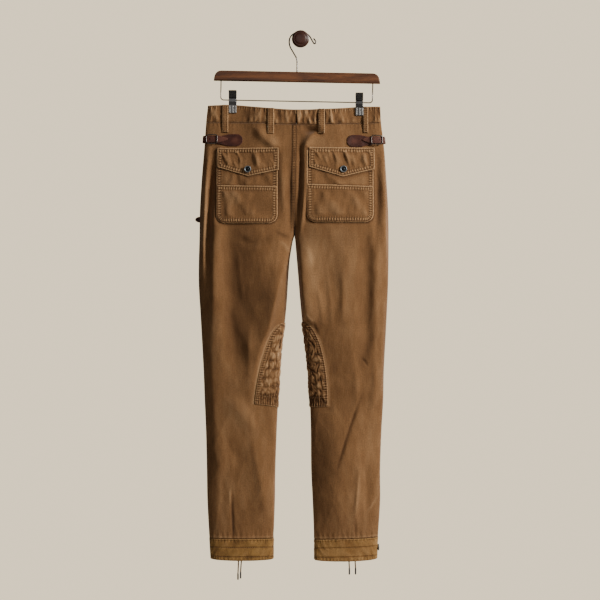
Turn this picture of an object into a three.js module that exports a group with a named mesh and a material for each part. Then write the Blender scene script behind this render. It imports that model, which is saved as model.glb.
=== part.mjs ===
// Cargo trousers held by the waistband in a two-clip wooden hanger, which hangs on a wooden wall peg.
//
// Millimetres, Z up. The wall is the plane Y = 0 and the peg's axis runs out of it along -Y, through
// the origin. X runs along the hanger. The trousers hang with their back turned to -Y, so the
// wearer's left leg lies at -X. Each cloth piece is a thin closed wall, 0.3 mm clear of the next.
import * as THREE from "three";

const { clamp, degToRad, lerp, smoothstep } = THREE.MathUtils;

// Rows of numbers under named columns.
const table = (columns, rows) =>
  rows.map((row) => Object.fromEntries(columns.map((column, i) => [column, row[i]])));

// ---------------------------------------------------------------- driving dimensions

const hangY = -42; // plane through the hanger, the side seams and the inseams
const seamGap = 0.3; // between neighbouring pieces
const clothWall = 1.2; // leg panels
const bandWall = 2.4; // waistband and cuffs, which are doubled
const patchWall = 1.2; // pockets, flaps and patches laid on the panels
const leatherWall = 1.8;
const under = 0.9; // an overlaid piece's clearance over the curved panel below it
const second = under + patchWall + 0.6; // the same for a piece laid on such a piece

const crotchZ = -451.5;
const crotchRise = 120; // height over which the seat rounds out above the crotch
const waistSeam = -192; // middle height of the seam below the waistband
const cuffSeam = -1146; // middle height of the seam above the cuffs
const roundness = 0.78; // power of the section's depth: 1 is an ellipse, less is boxier
const frontFullness = 0.82; // depth of the front against the back

// The garment's side outline and its depth behind the side seams, from the waist down.
const outline = table(
  ["z", "left", "right", "depth"],
  [
    [-150, -212.8, 183.3, 10],
    [-189, -216.9, 185.2, 13],
    [-254, -221.5, 192.7, 20],
    [-323, -227.2, 197.6, 26],
    [-392, -231.2, 201.5, 31],
    [-452, -232.3, 202.6, 34],
    [-553, -234.1, 201.7, 31],
    [-645, -229.1, 197.8, 28],
    [-760, -222.9, 191.8, 26],
    [-829, -220.3, 190.2, 25],
    [-898, -217.4, 186.3, 24],
    [-990, -215.3, 183.1, 22],
    [-1059, -214.1, 183.3, 20],
    [-1146, -209.5, 178.0, 17.5],
    [-1200, -206.1, 176.0, 17],
  ],
);

// The seam down the middle of the seat.
const centreSeam = table(
  ["z", "x"],
  [
    [-150, -8.1],
    [-254, -9.9],
    [-345, -12.3],
    [-451.5, -13.8],
  ],
);

// The inner edge of each leg, from the crotch down.
const inseam = table(
  ["z", "left", "right"],
  [
    [-451.5, -13.8, -13.8],
    [-462, -17.3, -12.3],
    [-484, -21.4, -10.4],
    [-507, -24.8, -8.5],
    [-553, -28.3, -4.6],
    [-599, -31.1, -0.9],
    [-645, -35.4, 3.5],
    [-691, -42.3, 9.7],
    [-760, -48.1, 17.3],
    [-829, -51.3, 21.4],
    [-898, -54.5, 23.7],
    [-990, -57.7, 24.6],
    [-1059, -58.7, 27.8],
    [-1146, -61.6, 31.1],
    [-1200, -62.1, 32.0],
  ],
);

// The waistband sags between the two clips.
const waistLine = table(
  ["x", "top", "seam"],
  [
    [-213, -151.7, -190.3],
    [-157, -150.4, -191.2],
    [-93, -156.3, -192.6],
    [-17, -161.8, -196.0],
    [68, -159.7, -194.9],
    [137, -154.9, -192.6],
    [185, -154.2, -191.0],
  ],
);

const legs = {
  left: {
    side: 1, // the way across from the outer edge to the inner one
    cuff: { seamOuter: -1145.4, seamInner: -1145.4, hemOuter: -1192, hemInner: -1192, dip: 3.6 },
  },
  right: {
    side: -1,
    cuff: { seamOuter: -1142.2, seamInner: -1148.6, hemOuter: -1191.4, hemInner: -1194.7, dip: 4 },
  },
};

// The largest folds: each runs through three points, and its rise is away from the body when positive.
const folds = table(
  ["face", "x0", "z0", "x1", "z1", "x2", "z2", "west", "east", "rise", "softness"],
  [
    ["back", -195, -430, -196, -550, -197, -700, 14, 26, 7, 1.8],
    ["back", -197, -560, -199, -781, -186, -1020, 16, 26, 6, 1.8],
    ["back", -192, -860, -184, -1031, -182, -1145, 22, 20, 5, 1.8],
    ["back", -201, -258, -208, -385, -214, -540, 7, 7, -5, 2],
    ["back", -162, -500, -158, -590, -136, -800, 22, 50, -13, 2],
    ["back", -22, -455, -56, -595, -108, -830, 45, 10, 16, 1.3],
    ["back", -178, -560, -138, -652, -96, -770, 12, 16, 4, 2],
    ["back", -176, -820, -140, -848, -100, -905, 20, 16, 5, 2],
    ["back", -116, -880, -100, -975, -70, -1120, 28, 28, 9, 1.6],
    ["back", -3, -440, 3, -530, 9, -630, 8, 34, 18, 1.6],
    ["back", 172, -380, 174, -560, 170, -760, 11, 14, 6, 2],
    ["back", 152, -380, 151, -560, 146, -760, 16, 11, -6, 2],
    ["back", 161, -650, 145, -713, 116, -770, 12, 12, -4, 2],
    ["back", 170, -700, 172, -792, 158, -880, 10, 9, 4, 2],
    ["back", 80, -860, 84, -985, 80, -1145, 42, 62, 13, 2],
    ["back", 158, -800, 124, -900, 86, -1010, 8, 18, 3.5, 2],
    ["back", 139, -940, 131, -1029, 124, -1110, 14, 8, 5, 1.6],
    ["back", 147, -960, 151, -1036, 149, -1110, 8, 12, -4, 2],
    ["back", -108, -198, -79, -228, -50, -240, 9, 9, 4, 1.6],
    ["back", -3, -204, 22, -210, 58, -217, 9, 9, -4, 2],
    ["back", 68, -206, 24, -224, 8, -275, 8, 8, 4, 1.8],
    ["back", 9, -252, 8, -348, -3, -439, 8, 6, 2.6, 2],
    ["back", 189, -230, 193, -371, 195, -560, 10, 6, 5, 2],
    ["front", -165, -420, -122, -560, -108, -720, 12, 12, -6, 2],
    ["front", 135, -410, 112, -560, 118, -740, 12, 12, -6, 2],
    ["front", -52, -690, -110, -730, -165, -748, 10, 10, -4, 2],
    ["front", 45, -702, 108, -738, 155, -765, 10, 10, -5, 2],
    ["front", -155, -810, -112, -900, -88, -1020, 11, 11, -5, 2],
    ["front", 58, -825, 98, -920, 122, -1050, 11, 11, -5, 2],
    ["front", -192, -290, -172, -500, -178, -720, 13, 13, 4, 2],
    ["front", 172, -310, 164, -520, 158, -720, 13, 13, 4, 2],
    ["front", -40, -440, -78, -500, -120, -540, 11, 11, -5, 2],
    ["front", 14, -436, 48, -498, 88, -540, 11, 11, -5, 2],
  ],
);

const clipAt = {
  left: { x: -156, width: 18 },
  right: { x: 135.3, width: 17.2 },
};
const clipSize = { above: 22, below: 30.3, pinch: 2.75, hold: 12, spread: 62, fade: 70 };

// Outlines of the back pockets, each from its outer side to its inner one.
const [flapLeft, flapRight] = table(
  ["from", "to", "top", "endOuter", "endInner", "pointX", "pointZ"],
  [
    [-190, -50, -251, -294.7, -301.6, -119.9, -315.9],
    [169.1, 19.6, -249.9, -299.1, -294.7, 95.9, -317.1],
  ],
);
const [bagLeft, bagRight] = table(
  ["from", "to", "bottom", "corner", "hemOuter", "hemInner"],
  [
    [-192.6, -52.2, -424.4, 20, -336, -339.4],
    [166.8, 14.1, -422.1, 20, -338.2, -333.9],
  ],
);
const pockets = {
  left: { flap: flapLeft, bag: bagLeft, button: { x: -120.3, z: -300 } },
  right: { flap: flapRight, bag: bagRight, button: { x: 97.7, z: -299.7 } },
};

// Each knee patch is an arch that grows from the inseam; power sets how soon it reaches its width.
const [patchLeft, patchRight] = table(
  ["top", "bottomOuter", "bottomInner", "xTop", "xBottom", "power"],
  [
    [-651, -836.7, -846.3, -37.1, -105.5, 1.3],
    [-649, -842.4, -844.7, 4.6, 63.2, 2.2],
  ],
);
const kneePatches = { left: patchLeft, right: patchRight };
const sewnCalmness = 0.9; // share of a fold that a sewn-on pocket or patch takes away
const foldFade = 0.35; // share of a fold's length over which each end fades out
const quiltRows = 10;
const quiltRise = 1.2;

const beltLoops = table(
  ["name", "face", "leg", "x", "width", "bottom"],
  [
    ["belt_loop_side_left", "back", "left", -172.4, 13.6, -214.2],
    ["belt_loop_back_left", "back", "left", -67.9, 14.6, -217.6],
    ["belt_loop_back_right", "back", "right", 48.2, 14.6, -217.2],
    ["belt_loop_side_right", "back", "right", 149.6, 10.6, -214.8],
    ["belt_loop_front_left", "front", "left", -112, 14, -216],
    ["belt_loop_front_right", "front", "right", 94, 14, -216],
  ],
);
const loopBow = 1.6; // how far a belt loop stands off the band at its middle

// Side adjusters: a sewn base tab, a strap that runs through a wire buckle and round to the front.
const [cinchLeft, cinchRight] = table(
  ["tabEnd", "tabFrom", "top", "bottom", "tip", "buckleX", "frontEnd"],
  [
    [-132.6, -191.5, -218.4, -246.2, -166.5, -202, -186],
    [106.7, 163, -220, -248.2, 141.6, 173.5, 160],
  ],
);
const cinches = { left: cinchLeft, right: cinchRight };
const tabShape = { round: 14, narrowEnd: 0.68, widensFrom: 4, widensTo: 30 };
const strap = { width: 16, above: 2.4, pointed: 0.12, pointWidth: 0.14, standOff: 3.4 };
const buckleSize = { length: 25, height: 23, wire: 2.4, squareness: 0.42 };

const buttonSize = { radius: 7.8, rim: 1.4, thick: 3.2 };
const cuffButtons = { left: { a: -0.32, z: -1167 }, right: { a: 0, z: -1167 } };
const waistButton = { x: -11, z: -178 };
const fly = { width: 36, top: -200, bottom: -372, wall: 1.2 };
const sideTab = { z: -413, reach: 10.5, height: 14, wall: 2 };

// Ends of the cords that run in the cuffs: the points down the middle of each.
const cordRadius = 1.5;
const cordTip = { radius: 1.85, gap: 0.3 };
const cords = table(
  ["name", "leg", "tipEnd", "points"],
  [
    ["left_a", "left", -1239.7, [[-141.6, -1184], [-142, -1196], [-142.4, -1208], [-143.2, -1224.6]]],
    ["left_b", "left", -1236.7, [[-135.2, -1184], [-135.5, -1196], [-136.2, -1207], [-137.2, -1220.6]]],
    ["right_a", "right", -1227.8, [[110.6, -1176], [110.8, -1188], [111.2, -1200], [111.9, -1212.2]]],
    ["right_b", "right", -1227.6, [[124.6, -1176], [124.9, -1188], [125.3, -1200], [126.1, -1212.2]]],
  ],
);

const tilt = degToRad(1.1); // the hanger hangs a little lower on the right
const hanger = { x: -8, z: -86.2, length: 382, height: 23, thick: 12, endRun: 18, bevel: 1.6 };
const hangerWire = { radius: 1.25, legX: 174.5, bottom: -55.7, corner: 7 };
const hookRadius = 1.6;
const hookPoints = table(
  ["x", "z"],
  [
    [-8, -74.4],
    [-8, -50],
    [-9.6, -42],
    [-13.6, -34.5],
    [-18.6, -26],
    [-23.6, -17],
    [-25.8, -7.6],
    [-25.2, 1],
    [-21.6, 8.6],
    [-14, 14.6],
    [-2.3, 17.3],
    [9, 15.4],
    [18.4, 10.6],
    [25.3, 0.8],
    [28.8, -5.6],
    [32.2, -9.4],
    [35, -6.4],
    [33.4, -1.4],
    [29.9, 2.8],
  ],
);
const pegProfile = table(
  ["radius", "out"],
  [
    [9.6, 0],
    [10.4, 4],
    [12.6, 18],
    [14.7, 33],
    [15.4, 38],
    [15.4, 44.2],
    [18.6, 46.4],
    [20, 50.5],
    [19.2, 54.5],
    [16.4, 57.6],
    [14.6, 58.4],
    [7.5, 59.4],
  ],
);

const panelGrid = {
  back: { across: 13, seat: 11, thigh: 13, calf: 10 },
  front: { across: 9, seat: 8, thigh: 9, calf: 7 },
};
const kneeZ = -800;

const finishes = {
  cloth: { color: 0x86603a, roughness: 0.92, metalness: 0 },
  cuffCloth: { color: 0xa8743a, roughness: 0.9, metalness: 0 },
  leather: { color: 0x4c2619, roughness: 0.55, metalness: 0 },
  wood: { color: 0x5b2d18, roughness: 0.45, metalness: 0 },
  steel: { color: 0xb6b2a8, roughness: 0.3, metalness: 1 },
  blackGrip: { color: 0x2a2826, roughness: 0.6, metalness: 0 },
  buttonMetal: { color: 0x59636d, roughness: 0.4, metalness: 1 },
  cord: { color: 0x4a3020, roughness: 0.9, metalness: 0 },
  cordTip: { color: 0x3a3d42, roughness: 0.6, metalness: 0 },
};

// ---------------------------------------------------------------- helpers

const part = new THREE.Group();

function addPiece(name, finish, geometry, parent = part) {
  const mesh = new THREE.Mesh(geometry, new THREE.MeshStandardMaterial(finishes[finish]));
  mesh.name = name;
  parent.add(mesh);
  return mesh;
}

// A column of a table at any place along its key, on a smooth curve through the rows.
function read(rows, key, column, at) {
  let i = 0;
  const past = (row) => (at - row[key]) * (rows[1][key] - rows[0][key]) > 0;
  while (i < rows.length - 2 && past(rows[i + 1])) i++;
  const [a, b] = [rows[i], rows[i + 1]];
  const slope = (j) => {
    const before = rows[Math.max(j - 1, 0)];
    const after = rows[Math.min(j + 1, rows.length - 1)];
    return (after[column] - before[column]) / (after[key] - before[key]);
  };
  const step = b[key] - a[key];
  const t = clamp((at - a[key]) / step, 0, 1);
  const rest = 1 - t;
  const blend = rest * rest * (1 + 2 * t) * a[column] + t * t * (3 - 2 * t) * b[column];
  return blend + t * rest * step * (rest * slope(i) - t * slope(i + 1));
}

// Even stops from 0 to 1, drawn towards both ends by crowd.
function stops(count, crowd = 0) {
  const turn = 2 * Math.PI;
  return Array.from({ length: count + 1 }, (_, i) => {
    const u = i / count;
    return u - (crowd * Math.sin(turn * u)) / turn;
  });
}

// Even stops that close up where the last share of the way is a round corner.
const cornerStops = (count, share) => [
  ...stops(count).map((u) => u * (1 - share)),
  1 - share / 2,
  1 - share / 7,
  1,
];

// Turns an indexed geometry's faces round when they point inwards.
function facingOut(geometry) {
  const at = geometry.getAttribute("position");
  const index = geometry.index;
  const [a, b, c] = [new THREE.Vector3(), new THREE.Vector3(), new THREE.Vector3()];
  let volume = 0;
  for (let i = 0; i < index.count; i += 3) {
    a.fromBufferAttribute(at, index.getX(i));
    b.fromBufferAttribute(at, index.getX(i + 1));
    c.fromBufferAttribute(at, index.getX(i + 2));
    volume += a.dot(b.cross(c));
  }
  if (volume < 0) {
    for (let i = 0; i < index.count; i += 3) {
      const first = index.getX(i);
      index.setX(i, index.getX(i + 1));
      index.setX(i + 1, first);
    }
  }
  geometry.computeVertexNormals();
  return geometry;
}

// A closed wall over the surface that point(u, v) gives as a place and the way out of the body.
// lift is the height of its inner face over that surface, rise(u, v) is added to its outer one, and
// least is the distance that the wall keeps from the plane of the side seams.
function wall(across, down, point, { lift = 0, thick = clothWall, rise = () => 0, least = 0 } = {}) {
  const [columns, rows] = [across.length - 1, down.length - 1];
  const geometry = new THREE.BoxGeometry(1, 1, 1, columns, rows, 1);
  const at = geometry.getAttribute("position");
  for (let i = 0; i < at.count; i++) {
    const u = across[Math.round((at.getX(i) + 0.5) * columns)];
    const v = down[Math.round((0.5 - at.getY(i)) * rows)];
    const { place, out } = point(u, v);
    const base = typeof lift === "function" ? lift(u, v) : lift;
    const face = Math.sign(place.y - hangY);
    place.addScaledVector(out, at.getZ(i) > 0 ? base + thick + rise(u, v) : base);
    if (least > 0) place.y = hangY + face * Math.max(face * (place.y - hangY), least);
    at.setXYZ(i, place.x, place.y, place.z);
  }
  return facingOut(geometry);
}

function tube(points, radius, sides, steps) {
  const section = new THREE.Shape();
  for (let i = 0; i < sides; i++) {
    const turn = (2 * Math.PI * (i + 0.5)) / sides;
    const corner = [radius * Math.cos(turn), radius * Math.sin(turn)];
    i ? section.lineTo(...corner) : section.moveTo(...corner);
  }
  const extrudePath = new THREE.CatmullRomCurve3(points, false, "centripetal");
  return new THREE.ExtrudeGeometry(section, { steps, bevelEnabled: false, extrudePath });
}

// A flat shape of X and Z made thick along Y, about the plane y.
function plateXZ(shape, thick, y, bevel = 0) {
  const options = { depth: thick - 2 * bevel, bevelEnabled: bevel > 0, bevelSegments: 2 };
  const sizes = { bevelSize: bevel, bevelThickness: bevel, bevelOffset: -bevel, curveSegments: 6 };
  const geometry = new THREE.ExtrudeGeometry(shape, { ...options, ...sizes });
  geometry.translate(0, 0, -thick / 2 + bevel);
  geometry.rotateX(Math.PI / 2);
  return geometry.translate(0, y, 0);
}

// A flat shape of Y and Z made wide along X, about the plane x.
function plateYZ(corners, wide, x, y, z) {
  const shape = new THREE.Shape(corners.map(([a, b]) => new THREE.Vector2(a, b)));
  const geometry = new THREE.ExtrudeGeometry(shape, { depth: wide, bevelEnabled: false });
  geometry.translate(0, 0, -wide / 2);
  const turn = new THREE.Matrix4().set(0, 0, 1, 0, 1, 0, 0, 0, 0, 1, 0, 0, 0, 0, 0, 1);
  return geometry.applyMatrix4(turn).translate(x, y, z);
}

// ---------------------------------------------------------------- the cloth's surface

const foldLines = folds.map((fold) => {
  const [start, middle, end] = [0, 1, 2].map((i) => new THREE.Vector2(fold["x" + i], fold["z" + i]));
  const control = middle.clone().multiplyScalar(2).sub(start.clone().add(end).multiplyScalar(0.5));
  return { ...fold, points: new THREE.QuadraticBezierCurve(start, control, end).getPoints(14) };
});

// How far the folds of one face move the cloth away from the body at x, z.
function foldRise(face, x, z) {
  const at = new THREE.Vector2(x, z);
  let total = 0;
  for (const { points, west, east, rise, softness, face: own } of foldLines) {
    if (own !== face) continue;
    let far = Infinity;
    let along = 0;
    let wide = east;
    for (let i = 0; i + 1 < points.length; i++) {
      const run = points[i + 1].clone().sub(points[i]);
      const share = clamp(at.clone().sub(points[i]).dot(run) / run.lengthSq(), 0, 1);
      const near = points[i].clone().addScaledVector(run, share);
      if (near.distanceTo(at) < far) {
        far = near.distanceTo(at);
        along = (i + share) / (points.length - 1);
        wide = x < near.x ? west : east;
      }
    }
    const ends = smoothstep(along, 0, foldFade) * smoothstep(1 - along, 0, foldFade);
    total += rise * Math.exp(-((far / wide) ** softness)) * ends;
  }
  return total;
}

// Outer edge of a knee patch at z, as a share of the way down an arch.
function patchEdge({ top, bottomOuter, xTop, xBottom, power }, z) {
  const share = clamp((z - bottomOuter) / (top - bottomOuter), 0, 1);
  return lerp(xTop, xBottom, Math.sqrt(1 - share ** power));
}

// The cloth is calmer where a pocket or a knee patch is sewn on it.
function sewnCalm(back, x, z) {
  let calm = 0;
  const fade = 14;
  for (const leg of ["left", "right"]) {
    const { top, bottomInner } = kneePatches[leg];
    const { side } = legs[leg];
    const beside = smoothstep(side * (x - patchEdge(kneePatches[leg], z)), -fade, 4);
    const above = 1 - smoothstep(z, top, top + fade);
    const below = smoothstep(z, bottomInner - fade, bottomInner);
    const onThisLeg = side * (innerX(leg, z) - x) > -1;
    if (onThisLeg) calm = Math.max(calm, beside * above * below);
  }
  for (const { bag, flap } of back ? Object.values(pockets) : []) {
    const [low, high] = [Math.min(bag.from, bag.to), Math.max(bag.from, bag.to)];
    const soft = 8;
    const inX = smoothstep(x, low - soft, low + soft) * (1 - smoothstep(x, high - soft, high + soft));
    const underTop = 1 - smoothstep(z, flap.top - soft, flap.top + soft);
    calm = Math.max(calm, inX * underTop * smoothstep(z, bag.bottom - soft, bag.bottom + soft));
  }
  return calm;
}

// Height of the hanger's wire, which leans with the hanger.
const wireZ = (x) => hanger.z + hangerWire.bottom / Math.cos(tilt) - (x - hanger.x) * Math.tan(tilt);

// 1 where a clip pinches the band, fading along the band and down the cloth below it.
function pinchAt(x, z) {
  let pinch = 0;
  for (const { x: clipX } of Object.values(clipAt)) {
    const beside = 1 - smoothstep(Math.abs(x - clipX), clipSize.hold, clipSize.spread);
    const below = Math.max(0, wireZ(clipX) - clipSize.below - z);
    pinch = Math.max(pinch, beside * Math.exp(-below / clipSize.fade));
  }
  return pinch;
}

// 0 at the crotch and below, 1 where front and back no longer close on each other at the middle.
const seatRound = (z) => Math.sin((Math.PI / 2) * clamp((z - crotchZ) / crotchRise, 0, 1));

const outerX = (leg, z) => read(outline, "z", leg, z);
const innerX = (leg, z) =>
  z > crotchZ
    ? read(centreSeam, "z", "x", z) - (legs[leg].side * seamGap) / 2
    : read(inseam, "z", leg, z) - (legs[leg].side * seamGap) / 2;

// The share of the way across, for s from 0 at the side seam to 1 at the inner seam.
function shareAcross(s, z) {
  const legShare = (1 - Math.cos(Math.PI * s)) / 2;
  const seatShare = 1 - Math.cos((Math.PI / 2) * s);
  return lerp(legShare, seatShare, seatRound(z));
}

const acrossX = (leg, s, z) => lerp(outerX(leg, z), innerX(leg, z), shareAcross(s, z));

// A point of the outer surface. Going round, a is 0 at the side seam, 1 at the inner seam by way of
// the back, and 2 or 0 again by way of the front. face settles which of the two a seam belongs to.
function aroundPlace(leg, a, z, split, face) {
  const back = face ? face === "back" : a >= 0 && a <= 1;
  const s = a < 0 ? -a : a > 1 ? 2 - a : a;
  const x = acrossX(leg, s, z);
  const k = seatRound(z);
  const bulge = lerp(Math.sin(Math.PI * s), Math.sin((Math.PI / 2) * s), k);
  const full = read(outline, "z", "depth", z) * (back ? 1 : frontFullness);
  let depth = full * Math.max(bulge, 0) ** roundness;
  const edge = 0.11;
  const calmEdge = smoothstep(s, 0, edge) * lerp(smoothstep(1 - s, 0, edge), 1, k);
  const calm = 1 - sewnCalmness * sewnCalm(back, x, z);
  depth += foldRise(back ? "back" : "front", x, z) * calmEdge * calm;
  depth = Math.max(depth, 0);
  depth = lerp(depth, Math.min(depth, clipSize.pinch), pinchAt(x, z));
  const y = hangY + (back ? -1 : 1) * (depth + split);
  return new THREE.Vector3(x, y, z);
}

// The same point with its level way out of the body.
function around(leg, a, z, split = 0, face = undefined) {
  const step = 0.004;
  const before = aroundPlace(leg, a - step, z, split);
  const after = aroundPlace(leg, a + step, z, split);
  const { side } = legs[leg];
  const out = new THREE.Vector3(side * (after.y - before.y), side * (before.x - after.x), 0).normalize();
  return { place: aroundPlace(leg, a, z, split, face), out };
}

// The place round the leg of a point that lies at x on one face.
function aroundAt(leg, face, x, z) {
  const share = (x - outerX(leg, z)) / (innerX(leg, z) - outerX(leg, z));
  let [low, high] = [0, 1];
  for (let i = 0; i < 24; i++) {
    const middle = (low + high) / 2;
    shareAcross(middle, z) < share ? (low = middle) : (high = middle);
  }
  return face === "back" ? low : -low;
}

const onFace = (leg, face, x, z) => around(leg, aroundAt(leg, face, x, z), z);

// Heights follow the waist seam at the top of a panel and the cuff seam at its bottom.
function seamHeight(leg, s, level) {
  const { cuff } = legs[leg];
  const blendOver = 90;
  const waistShift = read(waistLine, "x", "seam", acrossX(leg, s, level)) - waistSeam;
  const cuffShift = lerp(cuff.seamOuter, cuff.seamInner, s) - cuffSeam;
  const nearWaist = smoothstep(level, waistSeam - blendOver, waistSeam);
  const nearCuff = 1 - smoothstep(level, cuffSeam, cuffSeam + blendOver);
  return level + waistShift * nearWaist + cuffShift * nearCuff;
}

// ---------------------------------------------------------------- trousers

function legPanel(leg, face) {
  const { across, seat, thigh, calf } = panelGrid[face];
  const levels = [];
  const addLevels = (from, to, count) => {
    for (let i = 0; i < count; i++) levels.push(lerp(from, to, i / count));
  };
  addLevels(waistSeam - seamGap / 2, crotchZ, seat);
  addLevels(crotchZ, kneeZ, thigh);
  addLevels(kneeZ, cuffSeam + seamGap / 2, calf);
  levels.push(cuffSeam + seamGap / 2);

  const { side } = legs[leg];
  const way = face === "back" ? -1 : 1;
  const point = (s, level) => {
    const z = seamHeight(leg, s, level);
    const { place, out } = around(leg, face === "back" ? s : 2 - s, z, seamGap / 2, face);
    if (s === 0) out.set(-side, 0, 0);
    if (s === 1) {
      const k = seatRound(z);
      out.set(side * (1 - k), way * k, 0).normalize();
    }
    return { place, out };
  };
  return wall(stops(across, 0.35), levels, point, { lift: -clothWall });
}

function waistbandPiece(leg, face) {
  const { side } = legs[leg];
  const middleZ = lerp(waistLine[0].top, waistLine[0].seam, 0.5);
  const across = stops(11, 0.2);
  const { x: clipX } = clipAt[leg];
  for (const edge of [-1, 0, 1]) {
    across.push(Math.abs(aroundAt(leg, "back", clipX + edge * (clipSize.hold - 1), middleZ)));
  }
  across.sort((a, b) => a - b);
  const point = (s, v) => {
    const x = acrossX(leg, s, middleZ);
    const top = read(waistLine, "x", "top", x);
    const seam = read(waistLine, "x", "seam", x) + seamGap / 2;
    const a = face === "back" ? s : 2 - s;
    const { place, out } = around(leg, a, lerp(top, seam, v), seamGap / 2, face);
    if (s === 0) out.set(-side, 0, 0);
    if (s === 1) out.set(0, face === "back" ? -1 : 1, 0);
    return { place, out };
  };
  return wall(across, stops(2), point, { lift: -bandWall, thick: bandWall, least: seamGap / 2 });
}

// A ring of cloth whose profile closes on itself, as two walls joined at the top seam and the hem.
function cuff(leg) {
  const sides = 26;
  const rows = 2;
  const inner = Array.from({ length: rows + 1 }, (_, i) => new THREE.Vector2(1, i / rows));
  const outer = inner.map(({ y }) => new THREE.Vector2(2, y)).reverse();
  const geometry = new THREE.LatheGeometry([...inner, ...outer, inner[0].clone()], sides);
  const at = geometry.getAttribute("position");
  const { seamOuter, seamInner, hemOuter, hemInner, dip } = legs[leg].cuff;
  for (let i = 0; i < at.count; i++) {
    const radius = Math.hypot(at.getX(i), at.getZ(i));
    const turn = Math.atan2(at.getX(i), at.getZ(i)) / Math.PI;
    const a = (turn + 2) % 2;
    const s = a > 1 ? 2 - a : a;
    const top = lerp(seamOuter, seamInner, s) - seamGap / 2;
    const hem = lerp(hemOuter, hemInner, s) - dip * Math.sin(Math.PI * s);
    const { place, out } = around(leg, a, lerp(hem, top, at.getY(i)));
    place.addScaledVector(out, radius < 1.5 ? -bandWall : 0);
    at.setXYZ(i, place.x, place.y, place.z);
  }
  return facingOut(geometry);
}

function flyPlacket() {
  const point = (u, v) => {
    const z = lerp(fly.top, fly.bottom, v);
    const curve = Math.sqrt(Math.max(0, 1 - Math.max(0, (v - 0.72) / 0.28) ** 2));
    const middle = innerX("left", z) - 0.6;
    return onFace("left", "front", middle - fly.width * lerp(0.18, 1, curve) * u, z);
  };
  return wall(stops(3), stops(9), point, { lift: 0.7, thick: fly.wall });
}

function pocketBag(leg) {
  const { bag, flap } = pockets[leg];
  const top = flap.top - 6;
  const way = Math.sign(bag.to - bag.from);
  const point = (u, v) => {
    const z = lerp(top, bag.bottom, v);
    const intoCorner = clamp((bag.bottom + bag.corner - z) / bag.corner, 0, 1);
    const inset = way * bag.corner * (1 - Math.sqrt(1 - intoCorner ** 2));
    return onFace(leg, "back", lerp(bag.from + inset, bag.to - inset, u), z);
  };
  const cornerShare = bag.corner / (top - bag.bottom);
  return wall(stops(8), cornerStops(6, cornerShare), point, { lift: under, thick: patchWall });
}

function pocketLower(leg) {
  const { bag } = pockets[leg];
  const way = Math.sign(bag.to - bag.from);
  const border = 1.5;
  const point = (u, v) => {
    const top = lerp(bag.hemOuter, bag.hemInner, u);
    const z = lerp(top, bag.bottom + border, v);
    const intoCorner = clamp((bag.bottom + bag.corner - z) / bag.corner, 0, 1);
    const inset = way * (border + bag.corner * (1 - Math.sqrt(1 - intoCorner ** 2)));
    return onFace(leg, "back", lerp(bag.from + inset, bag.to - inset, u), z);
  };
  const cornerShare = bag.corner / (bag.hemOuter - bag.bottom);
  return wall(stops(8), cornerStops(4, cornerShare), point, { lift: second, thick: patchWall });
}

function pocketFlap(leg) {
  const { flap } = pockets[leg];
  const pointShare = (flap.pointX - flap.from) / (flap.to - flap.from);
  const toPoint = stops(5).map((u) => u * pointShare);
  const across = [...toPoint, ...toPoint.slice(1).map((_, i) => lerp(pointShare, 1, (i + 1) / 5))];
  const point = (u, v) => {
    const edge = lerp(flap.endOuter, flap.endInner, u);
    const fromPoint = u < pointShare ? u / pointShare : (1 - u) / (1 - pointShare);
    const pointDrop = lerp(flap.endOuter, flap.endInner, pointShare) - flap.pointZ;
    const bottom = edge - pointDrop * fromPoint;
    return onFace(leg, "back", lerp(flap.from, flap.to, u), lerp(flap.top, bottom, v));
  };
  return wall(across, stops(3), point, { lift: second, thick: patchWall + 0.3 });
}

// A sewn-on metal button: a dished disc with a raised rim, its back towards the cloth.
function button() {
  const { radius, rim, thick } = buttonSize;
  const corners = [
    [0, 0],
    [radius - 1, 0],
    [radius, thick * 0.5],
    [radius - rim, thick],
    [radius - 2.2 * rim, thick * 0.5],
    [0, thick * 0.6],
  ];
  return new THREE.LatheGeometry(corners.map(([r, h]) => new THREE.Vector2(r, h)), 14);
}

function addButton(name, { place, out }, lift) {
  const mesh = addPiece(name, "buttonMetal", button());
  mesh.position.copy(place).addScaledVector(out, lift);
  mesh.quaternion.setFromUnitVectors(new THREE.Vector3(0, 1, 0), out);
}

// The patch wraps the inseam, and its quilted rows are raised on the outside alone.
function kneePatch(leg) {
  const { top, bottomOuter, bottomInner } = kneePatches[leg];
  const sideStops = stops(5);
  const across = [...sideStops.map((u) => u / 2), ...sideStops.slice(1).map((u) => 0.5 + u / 2)];
  const point = (u, v) => {
    const inward = 1 - Math.abs(2 * u - 1);
    const z = lerp(top, lerp(bottomOuter, bottomInner, inward), v);
    const edge = aroundAt(leg, "back", patchEdge(kneePatches[leg], z), z);
    return around(leg, lerp(edge, 2 - edge, u), z);
  };
  const rise = (u, v) => {
    const crest = Math.abs(Math.sin(Math.PI * quiltRows * v));
    return quiltRise * crest * smoothstep(Math.min(u, 1 - u), 0, 0.12);
  };
  const [first, ...down] = stops(2 * quiltRows);
  const archStops = [0.05, 0.18, 0.46].map((share) => share * down[0]); // where the arch widens fastest
  return wall(across, [first, ...archStops, ...down], point, { lift: under, thick: patchWall, rise });
}

function beltLoop({ face, leg, x, width, bottom }) {
  const top = read(waistLine, "x", "top", x) - 0.5;
  const point = (u, v) => onFace(leg, face, x + (u - 0.5) * width, lerp(top, bottom, v));
  const lift = (u, v) => 1.1 + loopBow * Math.sin(Math.PI * v) ** 2;
  return wall([0, 1], stops(6), point, { lift, thick: 1.6 });
}

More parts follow.
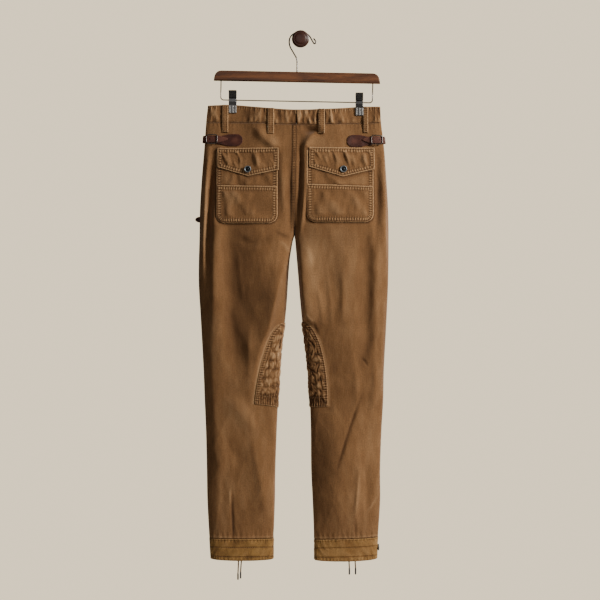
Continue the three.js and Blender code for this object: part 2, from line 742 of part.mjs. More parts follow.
function cinchTab(leg) {
  const { tabEnd, tabFrom, top, bottom } = cinches[leg];
  const { round, narrowEnd, widensFrom, widensTo } = tabShape;
  const middle = (top + bottom) / 2;
  const way = Math.sign(tabEnd - tabFrom);
  const length = Math.abs(tabEnd - tabFrom);
  const point = (u, v) => {
    const far = length * u;
    const toEnd = clamp((length - far) / round, 0, 1);
    const widening = lerp(narrowEnd, 1, smoothstep(far, widensFrom, widensTo));
    const half = ((top - bottom) / 2) * widening * lerp(0.12, 1, Math.sqrt(1 - (1 - toEnd) ** 2));
    return onFace(leg, "back", tabFrom + way * far, middle + half * (1 - 2 * v));
  };
  const roundShare = round / length;
  return wall(cornerStops(4, roundShare), stops(3), point, { lift: under, thick: leatherWall });
}

// Height of the strap's inner face over the cloth: over the tab, out round the side, then sewn down.
const strapLift = (a, tipAt) => {
  const overTab = under + leatherWall + 0.4;
  if (a < 0) return lerp(strap.standOff, under, smoothstep(-a, 0, 0.16));
  return lerp(strap.standOff, overTab, smoothstep(a, 0, tipAt * 0.5));
};

function strapPath(leg) {
  const { top, bottom, tip, frontEnd } = cinches[leg];
  const middle = (top + bottom) / 2 + strap.above;
  const from = aroundAt(leg, "back", tip, middle);
  const to = aroundAt(leg, "front", frontEnd, middle);
  return { middle, from, to };
}

function cinchStrap(leg) {
  const { middle, from, to } = strapPath(leg);
  const { width, pointed, pointWidth } = strap;
  const point = (u, v) => {
    const a = lerp(from, to, u);
    const half = (width / 2) * lerp(pointWidth, 1, clamp(u / pointed, 0, 1));
    return around(leg, a, middle + half * (1 - 2 * v));
  };
  const lift = (u) => strapLift(lerp(from, to, u), from);
  const across = [0, pointed / 2, ...stops(13).map((u) => lerp(pointed, 1, u))];
  return wall(across, stops(2), point, { lift, thick: leatherWall });
}

// A round-cornered ring of wire over the strap, following its curve.
function cinchBuckle(leg) {
  const { buckleX } = cinches[leg];
  const { length, height, wire, squareness } = buckleSize;
  const { middle, from } = strapPath(leg);
  const geometry = new THREE.TorusGeometry(10, 1, 6, 20);
  const at = geometry.getAttribute("position");
  const half = { x: (length - wire) / 2, z: (height - wire) / 2 };
  const square = (value, size) => Math.sign(value) * Math.abs(value) ** squareness * size;
  for (let i = 0; i < at.count; i++) {
    const turn = Math.atan2(at.getY(i), at.getX(i));
    const swell = ((Math.hypot(at.getX(i), at.getY(i)) - 10) * wire) / 2;
    const x = buckleX + square(Math.cos(turn), half.x) + swell * Math.cos(turn);
    const z = middle + square(Math.sin(turn), half.z) + swell * Math.sin(turn);
    const a = aroundAt(leg, "back", x, z);
    const { place, out } = around(leg, a, z);
    const lift = strapLift(a, from) + leatherWall + 0.5 + wire / 2;
    place.addScaledVector(out, lift + (at.getZ(i) * wire) / 2);
    at.setXYZ(i, place.x, place.y, place.z);
  }
  return facingOut(geometry);
}

function addTrousers() {
  for (const leg of ["left", "right"]) {
    for (const face of ["back", "front"]) {
      addPiece(`${face}_panel_${leg}`, "cloth", legPanel(leg, face));
      addPiece(`waistband_${face}_${leg}`, "cloth", waistbandPiece(leg, face));
    }
    addPiece(`cuff_${leg}`, "cuffCloth", cuff(leg));
    addPiece(`knee_patch_${leg}`, "cloth", kneePatch(leg));
    addPiece(`pocket_${leg}`, "cloth", pocketBag(leg));
    addPiece(`pocket_lower_${leg}`, "cloth", pocketLower(leg));
    addPiece(`pocket_flap_${leg}`, "cloth", pocketFlap(leg));
    addPiece(`cinch_tab_${leg}`, "leather", cinchTab(leg));
    addPiece(`cinch_strap_${leg}`, "leather", cinchStrap(leg));
    addPiece(`cinch_buckle_${leg}`, "steel", cinchBuckle(leg));

    const { button: spot } = pockets[leg];
    addButton(`pocket_button_${leg}`, onFace(leg, "back", spot.x, spot.z), second + patchWall + 1.3);
    const { a, z } = cuffButtons[leg];
    addButton(`cuff_button_${leg}`, around(leg, a, z), 0.4);
  }
  for (const loop of beltLoops) addPiece(loop.name, "cloth", beltLoop(loop));
  addPiece("fly_placket", "cloth", flyPlacket());
  addButton("waist_button", onFace("left", "front", waistButton.x, waistButton.z), 0.9);
  addSideTab();
  for (const cord of cords) addCord(cord);
}

// A stiff leather arrowhead that stands out of the left side seam.
function addSideTab() {
  const { z, reach, height, wall: thick } = sideTab;
  const root = outerX("left", z) - 0.9;
  const shape = new THREE.Shape();
  shape.moveTo(root, z - height / 2);
  shape.lineTo(root, z + height / 2);
  shape.lineTo(root - reach * 0.4, z + height * 0.3);
  shape.lineTo(root - reach, z - height * 0.06);
  shape.lineTo(root - reach * 0.5, z - height * 0.36);
  addPiece("side_tab_left", "leather", plateXZ(shape, thick, hangY));
}

function addCord({ name, leg, tipEnd, points }) {
  const hemY = (x) => onFace(leg, "back", x, points[0][1]).place.y;
  const inside = bandWall + 0.35 + cordRadius;
  const route = points.map(([x, z]) => new THREE.Vector3(x, hemY(points[0][0]) + inside, z));
  addPiece(`cuff_cord_${name}`, "cord", tube(route, cordRadius, 8, 5));
  const end = route.at(-1);
  const length = end.z - tipEnd - cordTip.gap;
  const capsule = new THREE.CapsuleGeometry(cordTip.radius, length - 2 * cordTip.radius, 2, 8);
  capsule.rotateX(Math.PI / 2);
  capsule.translate(end.x, end.y, (end.z - cordTip.gap + tipEnd) / 2);
  addPiece(`cuff_cord_tip_${name}`, "cordTip", capsule);
}

// ---------------------------------------------------------------- peg and hanger

function addPeg() {
  const rings = pegProfile.map(({ radius, out }) => new THREE.Vector2(radius, out));
  const profile = [new THREE.Vector2(0, 0), ...rings, new THREE.Vector2(0, 59.8)];
  const geometry = new THREE.LatheGeometry(profile, 20);
  geometry.rotateX(Math.PI);
  addPiece("wall_peg", "wood", geometry);
}

function addHook() {
  const points = hookPoints.map(({ x, z }) => new THREE.Vector3(x, hangY, z));
  addPiece("hanger_hook", "steel", tube(points, hookRadius, 8, 40));
}

// The bar and the wire below it lean together by the hanger's tilt.
function addBar() {
  const group = new THREE.Group();
  group.position.set(hanger.x, hangY, hanger.z);
  group.rotation.y = tilt;
  part.add(group);

  const [half, high] = [hanger.length / 2, hanger.height / 2];
  const shape = new THREE.Shape();
  shape.moveTo(-half, -high);
  shape.lineTo(half, -high);
  shape.quadraticCurveTo(half - 0.5, high, half - hanger.endRun, high);
  shape.lineTo(-half + hanger.endRun, high);
  shape.quadraticCurveTo(-half + 0.5, high, -half, -high);
  addPiece("hanger_bar", "wood", plateXZ(shape, hanger.thick, 0, hanger.bevel), group);

  const { legX, bottom, corner } = hangerWire;
  const top = -high - 0.3;
  const bend = corner * 0.3;
  const right = [
    [legX - 3 * corner, bottom],
    [legX - corner, bottom],
    [legX - bend, bottom + bend],
    [legX, bottom + corner],
    [legX, bottom + 3 * corner],
    [legX, top],
  ];
  const left = right.map(([x, z]) => [-x, z]).reverse();
  const route = [...left, [0, bottom], ...right].map(([x, z]) => new THREE.Vector3(x, 0, z));
  addPiece("hanger_wire", "steel", tube(route, hangerWire.radius, 6, 56), group);
}

// Each clip: a sleeve on the wire, two jaws on the band, and a ribbed grip whose arms open them.
function addClip(leg) {
  const { x, width } = clipAt[leg];
  const z = wireZ(x);
  const name = (piece) => `clip_${leg}_${piece}`;
  const face = clipSize.pinch + seamGap / 2 + 0.35;
  const plate = 1.5;
  const sleeve = { radius: 4, bore: hangerWire.radius + 0.35, length: width - 4 };
  const neck = sleeve.radius + 0.35;

  const jaw = [
    [face, -clipSize.below],
    [face + plate * 1.2, -clipSize.below],
    [face + plate, -12],
    [neck + plate, -4],
    [neck + plate, 3],
    [neck, 3],
    [neck, -4],
    [face, -12],
  ];
  const mirrored = jaw.map(([y, z]) => [-y, z]).reverse();
  addPiece(name("jaw_front"), "steel", plateYZ(jaw, width, x, hangY, z));
  addPiece(name("jaw_back"), "steel", plateYZ(mirrored, width, x, hangY, z));

  const tubeProfile = [
    [sleeve.bore, -1],
    [sleeve.radius, -1],
    [sleeve.radius, 1],
    [sleeve.bore, 1],
    [sleeve.bore, -1],
  ].map(([r, h]) => new THREE.Vector2(r, (h * sleeve.length) / 2));
  const sleeveGeometry = new THREE.LatheGeometry(tubeProfile, 12);
  sleeveGeometry.rotateZ(Math.PI / 2);
  sleeveGeometry.rotateY(tilt);
  addPiece(name("sleeve"), "steel", sleeveGeometry.translate(x, hangY, z));

  const ribs = 5;
  const from = 4.6;
  const rib = 0.9;
  const arm = (height) => lerp(neck + 1.6, 9.2, smoothstep(height, from, clipSize.above));
  const side = [];
  for (let i = 0; i <= 2 * ribs; i++) {
    const height = lerp(from, clipSize.above, i / (2 * ribs));
    side.push([arm(height) - (i % 2 ? 0 : rib), height]);
  }
  const inside = [
    [arm(clipSize.above) - 3.2, clipSize.above],
    [2, from + 3.2],
  ];
  const half = [...side, ...inside];
  const grip = [...half, ...half.map(([y, z]) => [-y, z]).reverse()];
  addPiece(name("grip"), "blackGrip", plateYZ(grip, width, x, hangY, z));
}

addPeg();
addHook();
addBar();
addClip("left");
addClip("right");
addTrousers();

export default part;
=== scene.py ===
import math

import bmesh
import bpy
import numpy as np
from mathutils import Matrix, Vector, noise


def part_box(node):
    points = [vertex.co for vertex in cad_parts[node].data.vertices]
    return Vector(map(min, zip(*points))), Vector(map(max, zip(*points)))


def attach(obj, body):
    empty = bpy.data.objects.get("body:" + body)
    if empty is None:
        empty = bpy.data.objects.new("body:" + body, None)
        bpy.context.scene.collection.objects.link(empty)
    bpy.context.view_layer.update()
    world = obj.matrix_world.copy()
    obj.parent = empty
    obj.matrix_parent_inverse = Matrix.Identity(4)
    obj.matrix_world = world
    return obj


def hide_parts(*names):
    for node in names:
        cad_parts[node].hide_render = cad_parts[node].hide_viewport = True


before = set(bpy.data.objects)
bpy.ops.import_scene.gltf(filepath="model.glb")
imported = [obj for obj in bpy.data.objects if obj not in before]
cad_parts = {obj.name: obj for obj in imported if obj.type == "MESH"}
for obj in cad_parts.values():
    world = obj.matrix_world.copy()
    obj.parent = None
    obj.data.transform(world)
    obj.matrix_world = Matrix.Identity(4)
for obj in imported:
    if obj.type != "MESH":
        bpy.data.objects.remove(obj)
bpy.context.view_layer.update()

mm = 0.001

# camera: level with the middle of the trousers, three metres in front of their back
cameraSetup = {"place": (-0.00115, -3.042, -0.5987), "lens": 78.26, "sensor": 36.0}


def addCamera():
    data = bpy.data.cameras.new("camera")
    data.lens = cameraSetup["lens"]
    data.sensor_width = cameraSetup["sensor"]
    camera = bpy.data.objects.new("camera", data)
    camera.location = cameraSetup["place"]
    camera.rotation_euler = (math.pi / 2, 0, 0)
    bpy.context.scene.collection.objects.link(camera)
    bpy.context.scene.camera = camera


addCamera()
print("camera placed")

# ---- small helpers for nodes, objects and numbers


def addNode(tree, kind, inputs=None, **settings):
    made = tree.nodes.new(kind)
    for key, value in settings.items():
        setattr(made, key, value)
    for key, value in (inputs or {}).items():
        if isinstance(value, bpy.types.NodeSocket):
            tree.links.new(value, made.inputs[key])
        else:
            made.inputs[key].default_value = value
    return made


def mixColours(tree, factor, first, second, blend="MIX"):
    made = tree.nodes.new("ShaderNodeMix")
    made.data_type = "RGBA"
    made.blend_type = blend
    for socket, value in zip((made.inputs[0], made.inputs[6], made.inputs[7]), (factor, first, second)):
        if isinstance(value, bpy.types.NodeSocket):
            tree.links.new(value, socket)
        else:
            socket.default_value = value
    return made.outputs[2]


def doMath(tree, operation, first, second=0.5, clamp=False):
    return addNode(tree, "ShaderNodeMath", {0: first, 1: second}, operation=operation, use_clamp=clamp).outputs[0]


def objectPlace(tree):
    return addNode(tree, "ShaderNodeTexCoord").outputs["Object"]


def stretched(tree, place, scale):
    return addNode(tree, "ShaderNodeMapping", {"Vector": place, "Scale": scale}).outputs[0]


def noiseAt(tree, place, scale, detail, **more):
    inputs = {"Vector": place, "Scale": scale, "Detail": detail, **more}
    return addNode(tree, "ShaderNodeTexNoise", inputs).outputs[0]


def waveAt(tree, place, direction, scale, **more):
    inputs = {"Vector": place, "Scale": scale, **more}
    return addNode(tree, "ShaderNodeTexWave", inputs, bands_direction=direction).outputs["Fac"]


def ranged(tree, value, low=0.0, high=1.0, toLow=0.0, toHigh=1.0):
    inputs = {"Value": value, "From Min": low, "From Max": high, "To Min": toLow, "To Max": toHigh}
    return addNode(tree, "ShaderNodeMapRange", inputs).outputs[0]


def wearAndShadingColour(tree, colour, tones, gain, patchy):
    # the attribute read here is 0.5 on plain cloth; above it the colour turns to the pale tone, for rubbed wear and for
    # painted highlights, and below it to the dark tone, for grime and for painted shade in grooves, creases and under
    # edges
    wearAndShading = addNode(tree, "ShaderNodeAttribute", attribute_name="wearAndShading").outputs["Fac"]
    light = doMath(tree, "MULTIPLY", doMath(tree, "SUBTRACT", wearAndShading, 0.5, True), gain, True)
    colour = mixColours(tree, doMath(tree, "MULTIPLY", light, patchy, True), colour, tones["wornAndLit"])
    dark = doMath(tree, "MULTIPLY", doMath(tree, "SUBTRACT", 0.5, wearAndShading, True), 2.0, True)
    return mixColours(tree, dark, colour, tones["shadeAndGrime"])


def dress(tree, shader, colour, height, strength, distance):
    # links a material's colour and the fine relief of its face
    bump = addNode(tree, "ShaderNodeBump", {"Height": height, "Strength": strength, "Distance": distance})
    tree.links.new(colour, shader.inputs["Base Color"])
    tree.links.new(bump.outputs[0], shader.inputs["Normal"])


def newMaterial(name, **sockets):
    material = bpy.data.materials.new(name)
    material.use_nodes = True
    shader = material.node_tree.nodes["Principled BSDF"]
    for key, value in sockets.items():
        shader.inputs[key.replace("_", " ")].default_value = value
    return material, material.node_tree, shader


def linkObject(name, data, material=None):
    made = bpy.data.objects.new(name, data)
    bpy.context.scene.collection.objects.link(made)
    if material:
        made.data.materials.append(material)
    return made


def finishPiece(piece, nodes=()):
    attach(piece, "root")
    if nodes:
        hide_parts(*nodes)
    return piece


def meshFrom(bm, name, material, smooth=True):
    mesh = bpy.data.meshes.new(name)
    bm.to_mesh(mesh)
    bm.free()
    mesh.polygons.foreach_set("use_smooth", [smooth] * len(mesh.polygons))
    return linkObject(name, mesh, material)


def addModifier(piece, kind, **settings):
    made = piece.modifiers.new(kind.lower(), kind)
    for key, value in settings.items():
        setattr(made, key, value)
    return made


def bakeModifiers(piece):
    graph = bpy.context.evaluated_depsgraph_get()
    done = bpy.data.meshes.new_from_object(piece.evaluated_get(graph), depsgraph=graph)
    piece.modifiers.clear()
    name = piece.name
    piece.data = done
    done.name = name


def blend(low, high, share):
    return low + (high - low) * share


def smooth(value, low, high):
    t = np.clip((value - low) / (high - low), 0, 1)
    return t * t * (3 - 2 * t)


def bell(value, wide):
    return np.exp(-((value / wide) ** 2))


def fading(value, low, high):
    return 1 - smooth(value, low, high)


def crumple(x, z, wavelength, seed, stretch=1.0):
    # smooth noise from -1 to 1 over a flat pair of coordinates
    flat = zip(np.ravel(x) / wavelength, np.ravel(z) / (wavelength * stretch))
    return np.array([noise.noise((a, b, seed)) for a, b in flat]).reshape(np.shape(x))


def readRows(rows, column, at):
    # a column of a table at any place along its first column, on a smooth curve
    keys, values = rows[:, 0], rows[:, column]
    if keys[0] > keys[-1]:
        keys, values = keys[::-1], values[::-1]
    slopes = np.empty_like(values)
    slopes[1:-1] = (values[2:] - values[:-2]) / (keys[2:] - keys[:-2])
    slopes[0] = (values[1] - values[0]) / (keys[1] - keys[0])
    slopes[-1] = (values[-1] - values[-2]) / (keys[-1] - keys[-2])
    at = np.clip(at, keys[0], keys[-1])
    i = np.clip(np.searchsorted(keys, at) - 1, 0, len(keys) - 2)
    step = keys[i + 1] - keys[i]
    t = (at - keys[i]) / step
    rest = 1 - t
    ends = rest * rest * (1 + 2 * t) * values[i] + t * t * (3 - 2 * t) * values[i + 1]
    return ends + t * rest * step * (rest * slopes[i] - t * slopes[i + 1])


def nearLine(x, z, line):
    # distance from a line of points, how far along it, and the offset in x from it
    best = np.full(np.shape(x), 1e9)
    along = np.zeros_like(best)
    east = np.zeros_like(best)
    run = 0.0
    for (ax, az), (bx, bz) in zip(line[:-1], line[1:]):
        dx, dz = bx - ax, bz - az
        length = math.hypot(dx, dz)
        t = np.clip(((x - ax) * dx + (z - az) * dz) / length**2, 0, 1)
        px, pz = x - (ax + t * dx), z - (az + t * dz)
        far = np.hypot(px, pz)
        nearer = far < best
        best = np.where(nearer, far, best)
        along = np.where(nearer, run + t * length, along)
        east = np.where(nearer, px, east)
        run += length
    return best, along, east, run


def curveThrough(points, steps=14):
    # a quadratic curve that starts, passes and ends at three points
    (x0, z0), (x1, z1), (x2, z2) = points
    cx, cz = 2 * x1 - (x0 + x2) / 2, 2 * z1 - (z0 + z2) / 2
    t = np.linspace(0, 1, steps + 1)
    x = (1 - t) ** 2 * x0 + 2 * t * (1 - t) * cx + t * t * x2
    z = (1 - t) ** 2 * z0 + 2 * t * (1 - t) * cz + t * t * z2
    return list(zip(x, z))


def smoothRoute(points, count):
    # points evenly spaced on a smooth curve through a few given ones
    points = np.array(points, float)
    far = np.r_[0, np.cumsum(np.linalg.norm(np.diff(points, axis=0), axis=1))]
    rows = np.column_stack([far, points])
    at = np.linspace(0, far[-1], count)
    return np.column_stack([readRows(rows, i + 1, at) for i in range(points.shape[1])])


# ---- materials

# the tan and deep tones are the cloth's own; the pale tone stands for rubbed wear and for painted highlights, the dark
# tone for grime and for painted shade
clothTones = {
    "tan": (0.238, 0.12, 0.048, 1),
    "deep": (0.192, 0.094, 0.036, 1),
    "wornAndLit": (0.5, 0.31, 0.16, 1),
    "shadeAndGrime": (0.07, 0.03, 0.011, 1),
}
cuffTones = {
    "tan": (0.325, 0.18, 0.052, 1),
    "deep": (0.24, 0.12, 0.036, 1),
    "wornAndLit": (0.46, 0.27, 0.11, 1),
    "shadeAndGrime": (0.1, 0.045, 0.014, 1),
}


def canvasMaterial(name, tones):
    # washed canvas: twill on the cloth's own map in centimetres, slubs, cloudy fading and wear, with painted highlights
    # and shade from the per-point attribute
    material, tree, shader = newMaterial(name, Roughness=0.92, Sheen_Weight=0.18, Sheen_Roughness=0.5)
    shader.inputs["Specular IOR Level"].default_value = 0.2
    place = addNode(tree, "ShaderNodeUVMap", uv_map="weave").outputs[0]
    cloudy = noiseAt(tree, objectPlace(tree), 14.0, 5.0, Roughness=0.62)
    slubs = noiseAt(tree, stretched(tree, place, (5.0, 0.35, 1.0)), 1.0, 4.0)
    speckle = noiseAt(tree, place, 7.0, 3.0)
    grain = noiseAt(tree, stretched(tree, place, (4.2, 2.8, 1.0)), 1.0, 3.0, Roughness=0.7)
    colour = mixColours(tree, ranged(tree, cloudy, 0.35, 0.65), tones["deep"], tones["tan"])
    colour = mixColours(tree, ranged(tree, slubs, 0.42, 0.7, toHigh=0.11), colour, tones["wornAndLit"])
    colour = wearAndShadingColour(tree, colour, tones, 1.6, doMath(tree, "ADD", speckle, 0.55))
    colour = mixColours(tree, 1.0, colour, ranged(tree, grain, 0.3, 0.7, 0.78, 1.22), "MULTIPLY")
    twill = waveAt(tree, place, "DIAGONAL", 3.6, Distortion=0.6, Detail=1.0)
    weft = waveAt(tree, place, "Y", 5.5, Distortion=0.8, Detail=1.0)
    height = twill
    for part, share in ((weft, 0.5), (speckle, 1.6), (grain, 2.0)):
        height = doMath(tree, "ADD", height, doMath(tree, "MULTIPLY", part, share))
    dress(tree, shader, colour, height, 0.5, 0.00018)
    return material


def threadMaterial(name, colour):
    # twisted sewing thread, a little uneven in tone
    material, tree, shader = newMaterial(name, Roughness=0.75, Sheen_Weight=0.2)
    here = objectPlace(tree)
    tone = ranged(tree, noiseAt(tree, here, 90.0, 2.0), 0.35, 0.65)
    darker = tuple(c * 0.55 for c in colour[:3]) + (1,)
    twist = waveAt(tree, here, "DIAGONAL", 900.0)
    dress(tree, shader, mixColours(tree, tone, darker, colour), twist, 0.4, 0.0001)
    return material


def leatherMaterial(name, tones):
    # waxed leather: pebbled grain, darker pull-up clouds, edges rubbed lighter
    material, tree, shader = newMaterial(name, Roughness=0.6)
    shader.inputs["Specular IOR Level"].default_value = 0.3
    here = objectPlace(tree)
    pebbles = addNode(tree, "ShaderNodeTexVoronoi", {"Vector": here, "Scale": 1400.0}, feature="DISTANCE_TO_EDGE")
    creased = noiseAt(tree, here, 420.0, 4.0)
    cloud = ranged(tree, noiseAt(tree, here, 60.0, 5.0, Roughness=0.6), 0.38, 0.62)
    colour = mixColours(tree, cloud, tones["deep"], tones["main"])
    colour = wearAndShadingColour(tree, colour, tones, 2.0, creased)
    tree.links.new(ranged(tree, creased, toLow=0.5, toHigh=0.75), shader.inputs["Roughness"])
    height = doMath(tree, "ADD", pebbles.outputs["Distance"], creased)
    dress(tree, shader, colour, height, 0.45, 0.0004)
    return material


def woodMaterial(name, stretch, tones, scale):
    # stained and varnished hardwood with the grain along one axis
    material, tree, shader = newMaterial(name, Roughness=0.48, Coat_Weight=0.1, Coat_Roughness=0.3)
    along = stretched(tree, objectPlace(tree), stretch)
    figure = noiseAt(tree, along, scale, 6.0, Roughness=0.65, Distortion=0.7)
    pores = noiseAt(tree, along, scale * 11, 3.0)
    colour = mixColours(tree, ranged(tree, figure, 0.36, 0.64), tones["deep"], tones["main"])
    pore = doMath(tree, "MULTIPLY", ranged(tree, pores, 0.55, 0.7), 0.6)
    tree.links.new(ranged(tree, figure, toLow=0.34, toHigh=0.55), shader.inputs["Roughness"])
    dress(tree, shader, mixColours(tree, pore, colour, tones["pore"]), pores, 0.25, 0.0003)
    return material


def metalMaterial(name, colour, roughness, smudge=0.08):
    # plated metal with faint handling marks and fine brushing
    material, tree, shader = newMaterial(name, Metallic=1.0, Roughness=roughness)
    marks = noiseAt(tree, stretched(tree, objectPlace(tree), (1, 1, 0.06)), 420.0, 2.0)
    duller = tuple(c * 0.88 for c in colour[:3]) + (1,)
    gloss = ranged(tree, marks, toLow=roughness - smudge / 2, toHigh=roughness + smudge)
    tree.links.new(gloss, shader.inputs["Roughness"])
    colour = mixColours(tree, ranged(tree, marks, 0.4, 0.7), colour, duller)
    dress(tree, shader, colour, marks, 0.08, 0.00005)
    return material


def mouldedMaterial(name, colour, roughness):
    # moulded rubber or plastic with a fine matt grain and dusty high spots
    material, tree, shader = newMaterial(name, Roughness=roughness)
    here = objectPlace(tree)
    dust = ranged(tree, noiseAt(tree, here, 120.0, 4.0), 0.5, 0.75, toHigh=0.6)
    paler = tuple(min(1, c * 2.2 + 0.01) for c in colour[:3]) + (1,)
    grain = noiseAt(tree, here, 900.0, 3.0)
    dress(tree, shader, mixColours(tree, dust, colour, paler), grain, 0.3, 0.0001)
    return material


canvas = canvasMaterial("tan canvas", clothTones)
cuffCanvas = canvasMaterial("ochre canvas", cuffTones)
tanThread = threadMaterial("tan thread", (0.36, 0.22, 0.105, 1))
ochreThread = threadMaterial("ochre thread", (0.4, 0.23, 0.08, 1))
darkThread = threadMaterial("dark thread", (0.09, 0.042, 0.024, 1))
tabLeather = leatherMaterial("plum leather", {
    "main": (0.085, 0.025, 0.016, 1), "deep": (0.045, 0.012, 0.009, 1),
    "wornAndLit": (0.22, 0.085, 0.055, 1), "shadeAndGrime": (0.018, 0.006, 0.005, 1)})
strapLeather = leatherMaterial("brown leather", {
    "main": (0.13, 0.045, 0.03, 1), "deep": (0.08, 0.026, 0.018, 1),
    "wornAndLit": (0.26, 0.12, 0.08, 1), "shadeAndGrime": (0.022, 0.008, 0.006, 1)})
barWood = woodMaterial("bar wood", (0.1, 1, 1), {
    "main": (0.215, 0.075, 0.021, 1), "deep": (0.055, 0.016, 0.005, 1), "pore": (0.014, 0.004, 0.002, 1)}, 60.0)
pegWood = woodMaterial("peg wood", (1, 0.15, 1), {
    "main": (0.075, 0.022, 0.011, 1), "deep": (0.04, 0.012, 0.007, 1), "pore": (0.012, 0.004, 0.003, 1)}, 40.0)
brightSteel = metalMaterial("bright steel", (0.42, 0.42, 0.41, 1), 0.5, 0.04)
darkSteel = metalMaterial("dark steel", (0.13, 0.125, 0.12, 1), 0.3)
buckleSteel = metalMaterial("buckle steel", (0.15, 0.14, 0.135, 1), 0.36)
buttonMetal = metalMaterial("button metal", (0.27, 0.31, 0.34, 1), 0.5)
buttonWell = metalMaterial("button well", (0.03, 0.035, 0.04, 1), 0.5)
gripRubber = mouldedMaterial("grip rubber", (0.02, 0.019, 0.018, 1), 0.55)
tipPlastic = mouldedMaterial("tip plastic", (0.035, 0.038, 0.045, 1), 0.5)
print("materials made")

# ---- cords: their routes are the solid cords' own, in metres

cuffCords = {
    "diameter": 0.003,
    "tipDiameter": 0.0037,
    "left_a": {"route": [(-0.1416, -1.184), (-0.142, -1.196), (-0.1424, -1.208), (-0.1432, -1.2246)], "tipEnd": -1.2397},
    "left_b": {"route": [(-0.1352, -1.184), (-0.1355, -1.196), (-0.1362, -1.207), (-0.1372, -1.2206)], "tipEnd": -1.2367},
    "right_a": {"route": [(0.1106, -1.176), (0.1108, -1.188), (0.1112, -1.2), (0.1119, -1.2122)], "tipEnd": -1.2278},
    "right_b": {"route": [(0.1246, -1.176), (0.1249, -1.188), (0.1253, -1.2), (0.1261, -1.2122)], "tipEnd": -1.2276},
}


def cordMaterial():
    # waxed braid, with painted shade between its strands
    material, tree, shader = newMaterial("braided cord", Roughness=0.7, Sheen_Weight=0.15)
    turned = addNode(tree, "ShaderNodeMapping", {"Vector": objectPlace(tree), "Rotation": (0, 0.6, 0.3)})
    strands = waveAt(tree, turned.outputs[0], "Z", 330.0, Distortion=1.5)
    colour = mixColours(tree, strands, (0.035, 0.017, 0.009, 1), (0.12, 0.062, 0.03, 1))
    dress(tree, shader, colour, strands, 0.6, 0.0004)
    return material


def spunPiece(name, profile, matrix, material, steps=40):
    # a profile of (radius, height) turned about its own upright axis
    bm = bmesh.new()
    verts = [bm.verts.new((radius * mm, 0, height * mm)) for radius, height in profile]
    edges = [bm.edges.new(pair) for pair in zip(verts[:-1], verts[1:])]
    bmesh.ops.spin(bm, geom=verts + edges, cent=(0, 0, 0), axis=(0, 0, 1), angle=2 * math.pi, steps=steps,
                   use_merge=True)
    bmesh.ops.remove_doubles(bm, verts=bm.verts, dist=1e-6)
    bmesh.ops.recalc_face_normals(bm, faces=bm.faces)
    bmesh.ops.transform(bm, matrix=matrix, verts=bm.verts)
    return meshFrom(bm, name, material)


def wireCurve(name, points, radius, roundness, closed=False):
    data = bpy.data.curves.new(name, "CURVE")
    data.dimensions = "3D"
    data.bevel_depth = radius
    data.bevel_resolution = roundness
    data.use_fill_caps = not closed
    spline = data.splines.new("POLY")
    spline.points.add(len(points) - 1)
    for point, place in zip(spline.points, points):
        point.co = (*place, 1)
    spline.use_cyclic_u = closed
    return data


def addCords():
    material = cordMaterial()
    for end in ("left_a", "left_b", "right_a", "right_b"):
        row = cuffCords[end]
        low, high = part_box("cuff_cord_" + end)
        y = (low[1] + high[1]) / 2
        route = smoothRoute([(x, y, z) for x, z in row["route"]], 16)
        data = wireCurve("cord_" + end, route, cuffCords["diameter"] / 2, 3)
        cord = linkObject("cord_" + end, data, material)
        radius = cuffCords["tipDiameter"] / 2 / mm
        top, bottom = route[-1][2] / mm - 0.2, row["tipEnd"] / mm
        tipProfile = [(0, bottom), (radius * 0.6, bottom + 0.2), (radius, bottom + 1.3), (radius, top - 1.2),
                      (radius * 0.9, top - 0.8), (radius * 0.97, top - 0.4), (radius * 0.7, top), (0, top)]
        middle = Matrix.Translation((route[-1][0], route[-1][1], 0))
        tip = spunPiece("cord_tip_" + end, tipProfile, middle, tipPlastic, 20)
        finishPiece(cord, ["cuff_cord_" + end])
        finishPiece(tip, ["cuff_cord_tip_" + end])


addCords()
print("cords hung")

# ---- the cloth's surface, in millimetres, from the same sizes as the solid parts

body = {"hangY": -42.0, "crotchZ": -451.5, "crotchRise": 120.0, "waistSeam": -192.0, "cuffSeam": -1146.0,
        "roundness": 0.78, "innerRoundness": 0.56, "frontFullness": 0.82, "sewnCalm": 0.9, "clothWall": 1.2, "bandWall": 2.4}
sideOf = {"left": 1, "right": -1}  # the way across from the outer edge to the inner one
column = {"left": 1, "right": 2}

outline = np.array([  # height, left edge, right edge, depth behind the side seams
    (-150, -212.8, 183.3, 10),
    (-189, -216.9, 185.2, 13),
    (-254, -221.5, 192.7, 20),
    (-323, -227.2, 197.6, 26),
    (-392, -231.2, 201.5, 31),
    (-452, -232.3, 202.6, 34),
    (-553, -234.1, 201.7, 31),
    (-645, -229.1, 197.8, 28),
    (-760, -222.9, 191.8, 26),
    (-829, -220.3, 190.2, 25),
    (-898, -217.4, 186.3, 24),
    (-990, -215.3, 183.1, 22),
    (-1059, -214.1, 183.3, 20),
    (-1146, -209.5, 178.0, 17.5),
    (-1200, -206.1, 176.0, 17),
], float)
centreSeam = np.array([(-150, -8.1), (-254, -9.9), (-345, -12.3), (-451.5, -13.8)], float)
inseam = np.array([  # height, inner edge of the left leg, of the right leg
    (-451.5, -13.8, -13.8),
    (-462, -17.3, -12.3),
    (-484, -21.4, -10.4),
    (-507, -24.8, -8.5),
    (-553, -28.3, -4.6),
    (-599, -31.1, -0.9),
    (-645, -35.4, 3.5),
    (-691, -42.3, 9.7),
    (-760, -48.1, 17.3),
    (-829, -51.3, 21.4),
    (-898, -54.5, 23.7),
    (-990, -57.7, 24.6),
    (-1059, -58.7, 27.8),
    (-1146, -61.6, 31.1),
    (-1200, -62.1, 32.0),
], float)
waistLine = np.array([  # x, top edge, seam
    (-213, -151.7, -190.3),
    (-157, -150.4, -191.2),
    (-93, -156.3, -192.6),
    (-17, -161.8, -196.0),
    (68, -159.7, -194.9),
    (137, -154.9, -192.6),
    (185, -154.2, -191.0),
], float)
